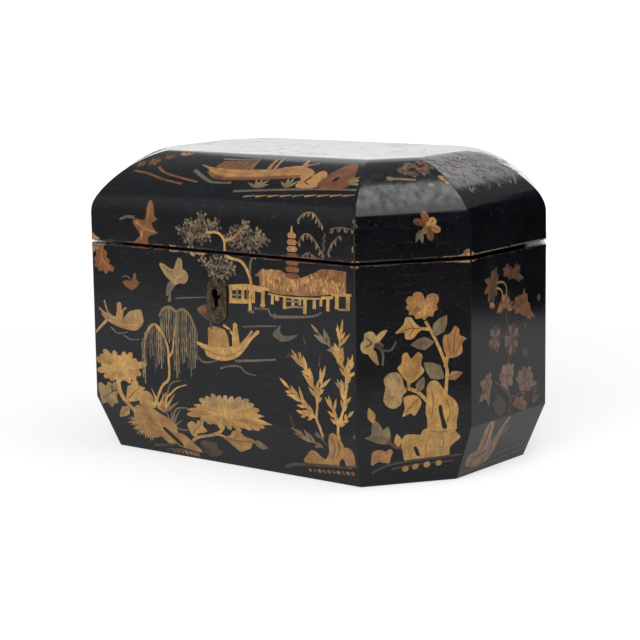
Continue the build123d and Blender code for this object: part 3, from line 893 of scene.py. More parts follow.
# The middle boat with its cabin, and ripples over the lake
mass(d, "gold", [
    (-14.6, 65.6), (-9.4, 63.4), (-7.4, 59.8), (2, 58.4), (11, 60.4), (17, 65), (22, 71), (27, 75),
    (25, 75.8), (18, 69.4), (14.4, 68), (7, 66), (-6, 65.4), (-14, 66.8)], 0.06)
stroke(d, "gold", [(15, 67.6), (19, 71.4), (22.4, 75.6)], 1.8, 0.7, 0.08)
mass(d, "gold", [
    (-6.6, 64.6), (-6.6, 74.4), (-4, 75.6), (0, 75.4), (4.6, 74.4), (6.6, 71), (7.4, 65.4)], between=0)
for u in (-5, -3.2, -1.4, 0.8, 3.6):
    stroke(d, "amber", [(u, 65.6), (u + 0.2, 74.2 - 0.06 * u * u)], 0.4, 1, 0.14)
stroke(d, "amber", [(-12, 64.4), (-2, 61.4), (8, 61.8), (16, 66)], 0.7, 0.6, 0.14)
stroke(d, "black", [(7.2, 75), (8.2, 70), (8, 66.6)], 1.0, 0.6, 0.16)
mass(d, "gold", [(9.4, 66), (9.2, 71), (10, 76.4), (13, 76.4), (13.8, 71), (14.4, 67)], 0.07, 0)
disc(d, "gold", (11.4, 77.2), 3.0)
stroke(d, "gold", [(3.6, 76.8), (7, 75.2), (9.6, 72.4)], 1.4, 0.8)
mass(d, "brown_gold", [
    (-13.8, 83), (-9.6, 85.8), (-4, 86.4), (4, 84), (4, 80), (0, 77.4), (-5, 78), (-9, 79.4)], 0.06)
mass(d, "red_gold", [(-13.8, 83), (-10, 85.4), (-7, 84), (-9, 80.6)], 0.1)
stroke(d, "brown_gold", [(-4.4, 78.5), (-4.4, 74)], 1.6, 1)
for line, wide in (
        ([(11, 59.2), (24, 60.8), (37, 62.6)], 1.9),
        ([(1, 54.4), (8, 56.4), (14, 56.6), (18, 54), (25, 53.2)], 1.5),
        ([(-17, 61.4), (-10, 56.6), (-1, 58)], 1.8), ([(-74, 68.4), (-69, 65.6), (-62, 67)], 1.4),
        ([(-65, 65), (-60, 63.2), (-54, 63.8)], 1.2), ([(-28, 87.6), (-16, 89), (-6, 90)], 1.0),
        ([(16, 77), (28, 78.4), (38, 79.4)], 1.4), ([(24, 87), (34, 87.4)], 1.7),
        ([(36, 83.8), (50, 85), (61, 86.4), (66, 88.6)], 2.0),
        ([(33, 87.4), (34.6, 84.4), (38, 85.4)], 1.4)):
    stroke(d, "olive_gold", line, wide * 0.75, 0.6)
mass(d, "olive_gold", [
    (35.4, 75), (38, 78), (40.6, 80.4), (40.2, 77), (43, 75), (51, 76.2), (46, 73), (40, 72.2)])

# The smaller boat at the left
mass(d, "amber", [
    (-81, 75.4), (-76, 71.4), (-68, 69), (-58, 68), (-53.6, 69.8), (-51, 73), (-56, 73.4), (-66, 73.6),
    (-74, 75)])
mass(d, "pale_gold", [
    (-64.6, 73), (-61, 77.6), (-57, 79), (-52.4, 79.4), (-51, 76), (-50.8, 73), (-57, 72)], 0.08)
stroke(d, "gold", [(-76, 72.4), (-66, 70.6), (-54, 71.4)], 1.2, 0.6, 0.1)
mass(d, "amber", [(-70, 73), (-69.4, 78), (-69.2, 81.6), (-66.4, 82), (-65.8, 78), (-65, 73.4)], 0.1)
stroke(d, "amber", [(-66, 75), (-64.6, 78.6), (-62.4, 79.6)], 1.2, 0.8, 0.1)
strokes(d, "pale_gold", (
    [(-70, 73), (-75.6, 75.6), (-78.4, 82.4)], [(-72, 73), (-78, 75.4), (-82.4, 78)],
    [(-77, 71.8), (-81.6, 68), (-86, 64)]), 1.7, 0.6)

# A small bird, a butterfly and a leaf over the water
mass(d, "red_gold", [
    (-65, 93.2), (-62, 94.2), (-59, 94), (-57.4, 95.4), (-56.6, 98.4), (-55, 98.2), (-55, 95.2),
    (-52.4, 93.6), (-54.4, 91.4), (-58.2, 89.2), (-62, 90.6)], 0.08, 0)
stroke(d, "olive_gold", [(-59, 95), (-61.6, 96.4), (-65, 95.8)], 0.9, 0.5)
mass(d, "pale_gold", [
    (-38.6, 104.4), (-36.4, 105), (-33, 103.6), (-30, 102.4), (-28.4, 103.2), (-27, 106.4),
    (-25.6, 108.6), (-23.4, 108), (-22.8, 105.4), (-22.6, 103), (-20.2, 102), (-19, 99.4), (-19.8, 97),
    (-22, 95.4), (-25, 95.6), (-28.4, 94.2), (-30, 96), (-33.4, 97.8), (-36, 100.4)], 0.08, 1)
strokes(d, "straw", (
    [(-28, 98), (-33, 101.6), (-37.6, 103.8)], [(-27, 99), (-25.4, 103), (-24.4, 107)],
    [(-26, 97), (-22, 98.6), (-20, 99.6)]), 0.6, 0.5, 0.14)
mass(d, "olive_gold", [
    (-33.6, 94), (-31, 96.6), (-28, 94.6), (-29.6, 92), (-31, 90.4), (-31.2, 86), (-33.4, 85.6),
    (-32.6, 88.6), (-34.4, 88.6)], 0.07)
mass(d, "red_gold", [
    (-81, 112), (-78, 112), (-77.4, 109.4), (-75, 108), (-75.8, 105.4), (-73.4, 104), (-74, 102),
    (-70.6, 100.4), (-71.6, 97.8), (-74.6, 98.4), (-76, 96.4), (-79, 98.2), (-81.4, 97.4), (-83, 99.8),
    (-85, 99.4), (-84, 102), (-85.4, 104), (-83, 105.6), (-83.4, 108.6)], 0.08, 1)
strokes(d, "amber", (
    [(-79.4, 110), (-79, 104), (-82, 100)], [(-79, 105), (-76, 101.6), (-72.6, 99)]), 0.8, 0.5, 0.14)

# The tree by the pavilion, which grows up over the seam onto the lid
crown_tones = ("straw", "olive_gold", "brown_gold")
crown = (
    (-3, 108), (1, 110), (5, 109), (8, 107), (10, 105.4), (4, 105.4), (0, 104.6), (-2, 101.6), (2, 101),
    (6, 103), (-5, 105), (-9, 108))
foliage(d, crown_tones, crown, 2.7)
foliage(d, ("olive_gold", "brown_gold", "brown_gold"), ((-1, 97), (2, 94), (3, 98)), 2.4)
stroke(d, "gold", [
    (21.6, 85.6), (21.4, 92), (22.4, 99), (20.6, 104.4), (16.4, 109.6), (9, 111), (6, 113), (5.4, 119.6),
    (1.6, 123), (-6, 122.8)], 1.9, 0.6, 0.16)
stroke(d, "olive_gold", [(22, 104), (22, 108.6), (23.4, 112)], 1.5, 0.8, 0.16)
stroke(d, "gold", [(5.6, 119.4), (10.6, 120.8), (14, 123), (18, 126.6)], 1.4, 0.6, 0.16)
crown = (
    (-19, 126), (-15.6, 127), (-17, 123), (-19.4, 120), (-17.6, 117), (-13.4, 119.6), (-12.6, 124),
    (-10, 127.6), (-9.2, 131), (-8, 123.6), (-9, 119), (-5.6, 121), (-4.6, 126), (-1.6, 126.4), (1, 127),
    (-23.6, 123))
foliage(d, crown_tones, crown, 3.0)
crown = (
    (10.4, 123), (13.4, 125), (17, 126.4), (19.4, 128), (20.6, 124), (16, 121), (12, 118.4),
    (17.4, 117.4), (22, 120), (26, 124), (25.4, 119.6), (29, 122.4), (31, 121), (27.6, 118), (22, 116),
    (8, 121))
foliage(d, crown_tones, crown, 2.9)

# The pavilion's thatch, the pagoda behind it, and the terrace on its posts
mass(d, "amber", [
    (24.6, 103.4), (27, 105), (29, 106.8), (35, 107), (41, 107.4), (45, 105.4), (54, 104.4), (62, 107.6),
    (66, 109.6), (74, 109.8), (81, 109.4), (80.8, 98.4), (70, 97.6), (56, 95.4), (36, 95.8), (28, 97.4),
    (27.6, 103)], between=0)
chance = random.Random(8)
for k in range(300):
    spot = (29 + 51 * chance.random(), 97 + 12 * chance.random())
    eave = 105.6 if spot[0] < 44 else 103.6 + max(0, spot[0] - 54) * 0.36
    if spot[1] < min(eave, 108.4) and chance.random() < 0.75:
        redness = (spot[1] - 97) / 9 + (spot[0] - 54) / 50 + 0.5 * chance.random()
        tip = (spot[0] + 0.8 * chance.random() - 0.4, spot[1] + 1.9)
        blade(d, "red_gold" if redness > 1.3 else "gold", spot, tip, 1.0, 0.11 + 0.0004 * k, petal_form)
for spot in ((32, 99), (39, 101.8), (47.5, 97.6), (56.4, 101), (64.2, 98)):
    disc(d, "red_gold", spot, 1.7, 0.23, 7)
pagoda = 48.6
tier_form = ((-1, 1.5), (-0.7, 0), (0.7, 0), (1, 1.5), (0.6, 2.7), (-0.6, 2.7))
for tier in range(7):
    low = 103.6 + tier * 3.3
    half = 4.6 if tier < 2 else 4.3 - (tier - 2) * 0.38
    outline = [(pagoda + half * reach, low + rise) for reach, rise in tier_form]
    mass(d, "red_gold" if tier < 4 else "amber", outline, 0.25, 0)
stroke(d, "pale_gold", [(48.6, 125), (48.7, 129.6)], 2.0, 0.4, 0.26)
strokes(d, "gold", (
    [(8, 96.8), (20, 98), (34, 97)], [(33, 95.4), (52, 94.6), (73, 96.4)],
    [(8, 89), (16, 89.4), (22, 90)], [(72, 97.8), (84, 98.4)]), 1.5, 0.9, 0.13)
stroke(d, "black", [(32, 95.8), (46, 95), (66, 96)], 0.7, 0.8, 0.16)
for line, wide in (
        ([(8, 95.6), (20, 96.6), (31, 96)], 1.8), ([(8, 90.4), (16, 90.4), (22.6, 91)], 1.2),
        ([(28, 89), (31, 89)], 1.4)):
    stroke(d, "gold", line, wide, 0.95, 0.1)
posts = (
    (9, 89, 97, 2.4), (13, 90.4, 96, 1.8), (23.6, 89.6, 97, 2.6), (16.8, 90, 97.4, 2.4),
    (19.6, 90, 97, 1.2), (29.6, 88, 97.4, 3.0), (35.6, 90, 95, 2.4), (38.6, 92, 95.4, 3.2),
    (43.2, 88.4, 95, 2.6), (48.4, 90, 94.8, 2.2), (52.6, 91, 94.6, 2.4), (55.8, 87, 95, 2.8),
    (61.6, 90, 95.4, 2.6), (65.6, 91.6, 95.8, 2.2), (69.8, 89.6, 96.4, 2.6), (75.2, 91, 97.6, 3.0),
    (81.8, 91, 98.2, 3.2))
for u, low, high, wide in posts:
    stroke(d, "straw" if wide < 2 else "gold", [(u, low), (u + 0.2, high)], wide * 0.75, 1, 0.1)
strokes(d, "straw", (
    [(43, 89), (50, 90), (55, 90)], [(10, 92.6), (17, 93)], [(44, 92.6), (53, 92.4)],
    [(76, 91), (82, 91.2)]), 1.1, 0.9, 0.1)
stroke(d, "olive_gold", [(21.6, 88), (20.6, 85.6), (24, 85)], 2.0, 0.6)

# Bamboo over the right rock
strokes(d, "gold", (
    [(65, 27), (64.4, 31), (62, 36), (62.6, 42), (62.4, 46)],
    [(75, 27), (75.4, 34.6), (78, 41), (80, 50), (80.4, 60)], [(75.4, 66), (76, 70)]), 1.6, 0.8)
for twig, leaf in (
        ([(60.6, 37.4), (56, 41), (50, 45.6), (45.6, 49)], 8.0),
        ([(62.4, 45), (61.2, 50), (58.4, 56), (55.6, 60.6)], 8.6)):
    spray(d, "gold", twig, leaf, 3.8, 1.9)
bamboo = (
    ("gold", [(75.4, 65), (76.2, 71), (77.4, 78.4)], 8.4),
    ("straw", [(74.4, 70), (69, 74), (64.4, 78)], 6.8),
    ("gold", [(80.2, 57), (79.4, 62), (77, 66.4)], 7.2),
    ("gold", [(80.4, 55), (82, 60), (83, 64)], 6.2),
    ("straw", [(80.4, 49), (77.6, 53)], 5.0),
    ("gold", [(57.8, 57), (53.6, 61.6), (51, 64.4)], 6.0),
    ("gold", [(62.6, 44), (64.4, 50), (66, 56)], 7.4),
    ("gold", [(61.4, 36.6), (57, 37), (54.4, 37.6)], 5.2),
    ("gold", [(75.4, 33), (73.2, 38), (71.6, 42.4)], 6.6),
    ("gold", [(75.6, 34), (79, 37), (81, 39)], 5.4),
    ("gold", [(78, 41), (79.2, 46), (78.4, 51)], 6.4),
    ("straw", [(63, 20.4), (57, 23.4), (51.4, 26.6)], 6.4),
    ("olive_gold", [(66, 22), (63.4, 26)], 4.6),
)
for finish, twig, leaf in bamboo:
    spray(d, finish, twig, leaf, 3.8, 1.8)
strokes(d, "brown_gold", (
    [(56, 72), (54.4, 76)], [(64, 62), (64.8, 68)], [(48, 30), (45.4, 36.6)], [(46, 66.6), (44, 64)]),
    1.2, 0.4)
mass(d, "gold", [
    (48.6, 9.6), (51, 14), (54.4, 17.4), (57.8, 17.4), (60.4, 14.6), (63, 14), (66.2, 18.4), (67.6, 25),
    (70, 29.6), (72.8, 30), (75.2, 27.4), (76.8, 21.6), (75, 16), (76, 10.8), (66, 9.8)])
mass(d, "amber", [(76, 21.4), (78.6, 22.8), (81, 21), (81.4, 17), (80, 12), (75, 10.4), (75.2, 15.6)], 0.08)
mass(d, "black", [(70.4, 11.4), (72.2, 14.6), (74, 15.4), (74.2, 11)], 0.14)
strokes(d, "red_gold", (
    [(70, 28), (70.8, 22), (67.4, 15)], [(55, 16.6), (57.4, 13), (56, 10.6)],
    [(73.6, 26), (73, 20), (70, 16)]), 0.8, 0.5, 0.14)
stroke(d, "brown_gold", [(34.6, 4.6), (42, 7.4), (56, 9.2), (74, 11), (87, 13.6)], 2.0, 0.6, 0.12)
for k in range(10):
    disc(d, "red_gold" if k % 2 else "straw", (50.6 + k * 3, 5.4 + k * 0.24), 2.2)
mass(d, "straw", [(84, 29), (84.6, 31), (86, 32.4), (86, 29)], between=0)

# The low chrysanthemum in the middle with its leaves
bloom(d, ("gold", "pale_gold"), (3, 31.4), (
    (-14.6, 25.4), (-23, 27.4), (-22.4, 30.6), (-17.6, 33.6), (-13.6, 37), (-9.6, 38.6), (-5.4, 40.6),
    (-0.6, 40.4), (4, 41), (9, 40.8), (14.4, 41), (19.4, 40.4), (22.6, 38.4), (26, 36), (29.4, 33.2),
    (34, 29.4), (28.4, 27), (24.6, 25), (19, 24.4), (14.6, 25), (11.4, 22), (8, 24.6), (4.4, 22),
    (1, 24.4), (-3, 22.2), (-6.4, 24.4), (-10.6, 24)), 3.4, "amber")
stroke(d, "gold", [(1, 24.4), (-3, 20), (-10, 16.8), (-20, 14), (-25, 11)], 1.8, 0.9)
stroke(d, "gold", [(-9, 17.4), (-4, 17.8), (1, 16.8)], 1.5, 0.8)
mass(d, "gold", [
    (-24.4, 15.6), (-25.2, 20.6), (-23, 22.8), (-20.8, 23.6), (-18.4, 22.4), (-16.6, 24.8), (-13.2, 24.2),
    (-14.2, 21.6), (-12.2, 19), (-15, 17.4), (-19, 16.6), (-22, 13.6)])
stroke(d, "red_gold", [(-23, 15.6), (-19.4, 19.4), (-15, 22.8)], 0.6, 0.4, 0.14)
mass(d, "gold", [
    (-2, 16.6), (3, 18.6), (5.6, 21.4), (9, 22.4), (11.6, 20.8), (13, 19.2), (17, 18.6), (19, 17),
    (16.6, 15.4), (14.4, 12.4), (11, 11), (7, 9.2), (4, 11.4), (1, 14)])
strokes(d, "red_gold", (
    [(-1, 16.4), (8, 16), (17, 17)], [(5, 16.2), (8, 19.4)], [(6, 16), (9.6, 12.6)]), 0.6, 0.4, 0.14)
mass(d, "straw", [(18.4, 17), (21, 18.2), (23.6, 17), (26.6, 14.8), (23, 13.2), (19.6, 14.4)], 0.08)

# A bird and hanging sprays on the lid's rim
mass(d, "red_gold", [
    (-56, 125.6), (-53, 127), (-48, 126.4), (-46.6, 130), (-46.8, 135), (-45.6, 137.6), (-43.6, 136),
    (-41.4, 132), (-41, 129), (-39, 127.4), (-41.4, 126), (-43, 125), (-41, 121.6), (-38.6, 120.4),
    (-42, 119.4), (-45.4, 118), (-46, 115.4), (-45, 113.8), (-55.6, 113.8), (-54, 116), (-51.4, 118.4),
    (-53, 121), (-55, 123.4)], 0.08, 1)
strokes(d, "amber", (
    [(-49, 121), (-46, 126), (-44.6, 132), (-45, 136.6)], [(-54, 125.4), (-49, 122.6), (-41, 120.6)],
    [(-50, 121), (-50.4, 116)]), 1.7, 0.5, 0.14)
stroke(d, "olive_gold", [(-54.6, 127.4), (-60, 127.6), (-65.4, 125.8)], 2.0, 0.5)
for line, finish in (
        ([(66.6, 117), (64, 121.4), (60, 125.4), (56, 125.8), (52.6, 122)], "straw"),
        ([(67.4, 117.6), (68, 123), (68.4, 127.6)], "brown_gold"),
        ([(70.4, 118), (73, 122.6), (77.6, 126.4)], "straw"),
        ([(54.4, 115), (58.6, 117), (63, 115)], "olive_gold"),
        ([(52, 133), (55.6, 136.6), (60, 136.6), (63.6, 134), (66.6, 131)], "straw"),
        ([(72, 129.4), (78, 130.6), (84.6, 130)], "olive_gold")):
    stroke(d, finish, line, 0.7, 0.6, 0.07)
    for i, spot in enumerate(smooth_path(line, 3)):
        tip = spot + Vector((0.9 - 1.8 * (i % 2), -2.6))
        blade(d, (finish, "brown_gold")[i % 3 // 2], spot, tip, 1.3, 0.08 + 0.004 * (i % 5))

# The bank, boat, reeds and rocks on the lid's arch
strokes(d, "red_gold", (
    [(-70, 156.8), (-58, 155), (-46, 151.6), (-31, 149)],
    [(-56, 161.4), (-49, 157), (-38, 154), (-22, 151)]), 1.6, 0.8)
for spot, reach in (((-62, 166), 5.4), ((-69, 163), 4), ((-56, 172), 4.6)):
    tuft(d, ("red_gold", "brown_gold", "red_gold"), spot, reach, 2.4, 7, spot[0])
for tip in ((-44, 178.4), (-48, 180), (-53, 179)):
    blade(d, "amber", (-49, 174), tip, 3.0, 0.1)
mass(d, "amber", [
    (-29, 165.4), (-21, 161), (-17, 156.4), (-9, 153.6), (12, 155), (36, 158.4), (46, 161), (44, 165),
    (38, 168), (30, 169), (20, 165), (0, 163), (-18, 163)])
strokes(d, "gold", (
    [(-19, 160.6), (-6, 157.6), (14, 159), (38, 162)], [(-16, 162.4), (0, 160.6), (20, 162.4)]), 1.2, 0.7,
    0.14)
mass(d, "red_gold", [
    (-21, 160), (-17, 156.4), (-9, 153.6), (12, 155), (36, 158.4), (44, 161), (36, 160.6), (12, 157.2),
    (-8, 156)], 0.09)
stroke(d, "olive_gold", [(-30, 160), (-20, 154.6), (-12, 151.6), (0, 152)], 2.2, 0.7)
mass(d, "red_gold", [(-19, 162.6), (-17, 170.4), (3.4, 171.4), (5, 163.4)], 0.08, 0)
for u in (-14, -9, -4, 1):
    stroke(d, "brown_gold", [(u - 1, 163.4), (u, 170.4)], 0.6, 0.9, 0.12)
stroke(d, "straw", [(-20, 172.4), (-8, 172.6), (4, 173.4)], 1.6, 1)
for u, wide in ((5.4, 1.6), (16, 3.4), (19.6, 2.6), (36, 4.0)):
    stroke(d, "amber" if wide > 2 else "straw", [(u, 163.4), (u - 2.6, 176.4)], wide * 0.75, 0.7, 0.1)
stroke(d, "amber", [(24, 166), (34, 168.6), (42, 173)], 2.0, 0.6, 0.1)
stroke(d, "olive_gold", [(4.6, 146.4), (20, 148), (40, 150), (60, 151.6), (78, 152.4)], 1.5, 0.9)
for k in range(9):
    u = 13 + k * 7.4
    stroke(d, ("straw", "amber")[k % 2], [(u, 143.4 + k * 0.56), (u + 6.6, 144.6 + k * 0.56)], 1.4, 0.5)
for base, tips in (
        ((18, 149.6), ((10, 153), (14, 155.6), (18, 156), (22.4, 156), (24, 152.6))),
        ((36, 151), ((30, 155), (33, 158), (36.4, 159), (41, 156.6)))):
    for tip in tips:
        blade(d, "straw", base, tip, 2.0, 0.14)
mass(d, "amber", [
    (41.4, 151.6), (41, 157), (38, 162), (43, 164), (46, 160.6), (49, 165.6), (54, 162.6), (55, 153)],
    0.1)
stroke(d, "black", [(46, 160), (44.6, 156), (48, 154)], 0.9, 0.5, 0.2)
mass(d, "red_gold", [(54, 152.6), (54.6, 162), (57, 165.6), (64, 165), (70, 160), (71, 153.4)], 0.1)
mass(d, "red_gold", [
    (56, 163), (58, 170), (60.4, 174.6), (65, 174), (68.4, 168), (71, 160.6), (64, 162)], 0.12)
mass(d, "black", [(60.4, 157.4), (60.8, 160.6), (62.6, 161), (62.4, 157.8)], 0.2)
for tip in ((78.4, 155.4), (77, 159.4), (74.4, 162)):
    blade(d, "straw", (69, 158), tip, 2.8, 0.14)
blade(d, "straw", (71, 169), (80, 163.8), 4.8, 0.12)

# Chips at the seam and corners, and thin worn lines along the seam's lips
chips = (
    [(-87, 112.6), (-79, 112.6), (-75, 112), (-79, 111.2), (-81, 109.6), (-83.4, 109), (-84.6, 107.4),
     (-87, 108)],
    [(-87, 117.4), (-85, 117.8), (-83, 116), (-80.6, 115.4), (-79.4, 113.6), (-87, 113.6)],
    [(-31.6, 112.6), (-24, 112.6), (-26, 111.4), (-31, 111.2)],
    [(-31.4, 113.6), (-31, 115), (-28.4, 114.6), (-27, 115), (-26.6, 113.6)],
    [(-22, 112.6), (-17, 112.4), (-19, 111.6), (-21, 111.8)],
    [(-17.6, 112.6), (-5, 112.6), (-7.4, 111.4), (-11, 111), (-13.4, 111.4), (-15, 109.8), (-17.4, 110.8)],
    [(-19.2, 113.6), (-19, 114.8), (-17.4, 115), (-16.8, 113.6)],
    [(23, 112.6), (26.4, 112.4), (25.4, 111.4)],
    [(82, 112.6), (87, 112.6), (87, 110.6), (85, 111.2)],
    [(84, 113.6), (84.6, 114.8), (87, 115.4), (87, 113.6)],
    [(84.9, 128), (84.6, 130), (85, 131), (84.4, 133.4), (84.6, 136), (87, 136), (87, 128)],
    [(84.9, 119), (84.6, 120.4), (85, 122), (87, 122), (87, 119)],
    [(84.7, 30), (84.9, 32), (87, 32.4), (87, 29.4)],
)
for chip in chips:
    mass(d, "ground", chip, 0.14, 0)
chance = random.Random(3)
for lip in (case_lip, lid_lip):
    u = -84.0
    while u < 78:
        far = u + 3 + 11 * chance.random()
        finish = ("brown_gold", "red_gold")[chance.randrange(2)]
        stroke(d, finish, [(u, lip), (min(far, 84), lip)], 0.45, 0.6, 0.1)
        u = far + 1 + 9 * chance.random()
lay("front_gilding", "front", landscape, finishes)
lay("back_gilding", "back", landscape, finishes, True)

# Peony and rock on the canted corners
# A flowering branch growing from behind a pierced garden rock, with a butterfly, over a dotted ground.
peonies = []
d = peonies
stroke(d, "gold", [(16, 47), (16.8, 56), (16.6, 61), (13.6, 69), (10.4, 76), (6, 84)], 1.8, 0.8, 0.07)

# The flowers, buds and leaves, from the top down
mass(d, "amber", [
    (-3, 92.6), (-4, 94.4), (-2.4, 96.6), (-0.6, 96.4), (0, 98.2), (3.4, 98.4), (5, 96.8), (5.8, 94.6),
    (7, 96.6), (9.6, 97.4), (12.2, 96.4), (12.8, 93.6), (11.6, 91.6), (12.4, 89.6), (10.4, 88.4),
    (9.8, 86.2), (7.2, 86.4), (5.6, 84.4), (3.8, 85.8), (1, 85.4), (0, 87.4), (-2.6, 87.6), (-2.4, 89.6),
    (-4.2, 91)], 0.08, 1)
for i, spot in enumerate((
        (1.6, 94.4), (4.4, 92), (8.6, 93.6), (7, 90.4), (1.2, 90), (4.6, 88.2), (9.6, 90.6))):
    scallop(d, ("amber", "gold")[i % 2], spot, 2.4, 2.0, 4, 0.3, 0.1 + 0.008 * i, spot[0])
    stroke(d, "red_gold", [spot, (spot[0] * 1.5 - 2.2, spot[1] * 1.5 - 45.8)], 0.4, 0.4, 0.17)
stroke(d, "gold", [(8.4, 80), (3.6, 80.6)], 1.6, 0.9)
mass(d, "gold", [
    (4, 80.6), (0.8, 83.4), (-1.4, 86.4), (-4.2, 86.2), (-5.2, 83.2), (-9.4, 79), (-5, 79.4),
    (-4.2, 76.2), (-0.8, 75.8), (1.8, 78.4)], 0.08)
strokes(d, "red_gold", (
    [(2.6, 80.6), (-2, 81), (-7.6, 79.6)], [(0, 81), (-2.6, 84.6)], [(0, 80.4), (-2.4, 77.4)]), 0.6, 0.5,
    0.14)
blade(d, "straw", (10, 76.6), (17, 86.4), 7.0, vein="olive_gold")
blade(d, "straw", (10, 73.6), (-1.6, 73), 6.6, vein="olive_gold")
stroke(d, "gold", [(16, 61), (17.2, 66.4)], 1.9, 0.9)
mass(d, "amber", [
    (17.4, 65.6), (15, 70.6), (15.2, 76.4), (18.4, 77.2), (21, 80.8), (23.2, 79), (23.4, 76.4),
    (27, 74.4), (24.8, 72.4), (24.8, 68), (22, 65.8)], 0.08)
strokes(d, "red_gold", (
    [(19, 67), (17.6, 72), (17, 75.6)], [(20, 67), (20.6, 73), (21.4, 79)],
    [(21.4, 67), (23, 71), (25, 73.6)]), 0.5, 0.5, 0.14)
blade(d, "straw", (15, 55.6), (5, 64), 8.0, vein="olive_gold")
blade(d, "amber", (17, 55.6), (25, 57.8), 4.6, vein="red_gold")
stroke(d, "gold", [(7, 44.6), (2, 49.6), (-3, 51.8)], 1.9, 0.9, 0.07)
stroke(d, "gold", [(-2.6, 51.6), (-3, 56)], 1.6, 0.9, 0.07)
mass(d, "gold", [
    (-2.6, 54.4), (-5.8, 57.8), (-8.4, 62), (-6.4, 64.4), (-6, 68.2), (-3.4, 69.4), (-1.6, 66.4),
    (0, 67.4), (2, 69.2), (4.4, 67.6), (3.6, 63.4), (5.2, 60), (3, 57.2), (0, 55)], 0.08)
strokes(d, "amber", (
    [(-2.6, 56), (-5, 61), (-4.4, 67)], [(-1.6, 56), (-1, 61), (-1.6, 65)],
    [(-0.8, 56), (2, 61), (2.4, 67)]), 0.5, 0.5, 0.14)
mass(d, "pale_gold", [
    (-15.4, 49), (-14.6, 53), (-15.4, 57), (-12.6, 59.8), (-8.4, 60), (-6, 57), (-5.2, 53.5), (-3.6, 51),
    (-5.8, 48.4), (-6.8, 44.4), (-10, 42.4), (-13.2, 43.4), (-15.4, 46)], 0.08)
for i, spot in enumerate((
        (-11.6, 56.4), (-7.8, 55.8), (-7.2, 51), (-12.6, 51.6), (-10.2, 49), (-12.2, 46.6), (-8.4, 46))):
    scallop(d, "pale_gold", spot, 2.4, 2.4, 4, 0.3, 0.1 + 0.008 * i, spot[1])
    stroke(d, "red_gold", [spot, (spot[0] * 1.4 + 4, spot[1] * 1.3 - 15.4)], 0.4, 0.4, 0.17)
blade(d, "straw", (1.6, 49.6), (5, 57), 4.8, vein="olive_gold")
mass(d, "gold", [
    (-5.4, 47.2), (-2.4, 48.4), (1.2, 48), (3.6, 45), (2.6, 41.4), (0, 38.2), (-2, 39.6), (-6, 38.2),
    (-4.8, 42)], 0.08)
stroke(d, "red_gold", [(2, 46.4), (-1, 43.6), (-4.6, 40)], 0.6, 0.5, 0.14)

# The pierced rock
mass(d, "gold", [
    (6.4, 46), (6.4, 51.6), (8.4, 54.6), (11.6, 54.6), (14.2, 51.6), (17, 47.6), (20.8, 44.6), (22.8, 40),
    (21.8, 34), (20.6, 29), (8, 29), (6.6, 36), (5.8, 40)], 0.09)
mass(d, "gold", [
    (-6, 24), (-5, 28.6), (-1, 29), (3, 28.4), (4.4, 30.6), (7, 31.6), (14, 30.6), (19, 31.2), (22.2, 28),
    (24.4, 25), (21, 21.4), (19.6, 19), (19.4, 14.6), (10, 14.4), (3, 13.8), (-2.6, 13.2), (-4.6, 19)],
    0.11)
mass(d, "black", [(12.4, 41.6), (14, 42.2), (15, 37), (16.8, 31.4), (14.6, 31), (13.4, 36)], 0.24)
mass(d, "black", [(0.8, 21), (2.2, 21.4), (4.4, 16.6), (2.8, 16.4)], 0.24)
strokes(d, "amber", (
    [(8, 30.6), (14, 29), (20, 30)], [(17, 34), (18.4, 39), (16.6, 45)], [(9, 50), (9.8, 44), (8.4, 36)]),
    0.9, 0.5, 0.2)
strokes(d, "amber", (
    [(-2.6, 26.6), (-1.4, 20), (0, 15)], [(8.6, 28), (7, 22), (8, 16)], [(15, 27), (16, 22), (14.6, 17)],
    [(19, 27), (20.6, 24)]), 0.6, 0.5, 0.2)

# The butterfly
mass(d, "pale_gold", [
    (-21.4, 80.8), (-24.8, 80), (-25.2, 77), (-27, 74.6), (-26.2, 71.2), (-23.4, 70), (-21, 71.4),
    (-19.6, 74.6), (-19.2, 78.6)], 0.08)
mass(d, "pale_gold", [(-20.4, 76.2), (-17, 80.2), (-13.4, 81), (-15, 78.4), (-18, 75.2)], 0.09)
mass(d, "pale_gold", [(-24, 72), (-21.2, 67), (-18, 64.2), (-18.2, 66.8), (-19.6, 71.4)], 0.09)
strokes(d, "brown_gold", ([(-21, 75), (-24, 78)], [(-21, 75), (-25, 73)]), 0.8, 0.5, 0.14)
strokes(d, "olive_gold", (
    [(-20, 74.6), (-16, 71.4), (-11.6, 71.2), (-9, 75)], [(-17.6, 73.4), (-15.6, 69), (-16, 64)],
    [(-19, 75.6), (-16.6, 74.4), (-15.4, 73)]), 1.4, 0.7)

# The low twig at the left and the dotted ground
mass(d, "straw", [
    (-25, 29), (-22, 30.4), (-21.8, 34), (-20.2, 37.2), (-17.4, 35.2), (-16, 32.4), (-13.4, 34),
    (-12.2, 30.5), (-11.8, 27), (-12.8, 24.6), (-17, 24.8), (-21, 26.8)], 0.08)
strokes(d, "olive_gold", (
    [(-12.6, 25.6), (-16.6, 29.6), (-19.6, 34.6)], [(-15, 28), (-19, 28.6), (-23, 29)]), 0.7, 0.5, 0.14)
stroke(d, "red_gold", [(-13, 26), (-9, 22.6), (-5, 21.4)], 1.7, 0.9)
blade(d, "gold", (-20.6, 36), (-23.2, 44), 4.2)
blade(d, "gold", (-7, 22.4), (-9, 30), 4.0)
mass(d, "amber", [
    (-20.4, 18), (-19.8, 20.6), (-16.5, 21.4), (-13.5, 20.2), (-11.4, 21.4), (-9.8, 19.6), (-10.4, 16.4),
    (-10.8, 13.2), (-14, 13.6), (-16.5, 14.4), (-20, 12.6)], 0.08)
scallop(d, "gold", (-15.2, 17.4), 2.6, 2.2, 5, 0.3, 0.1)
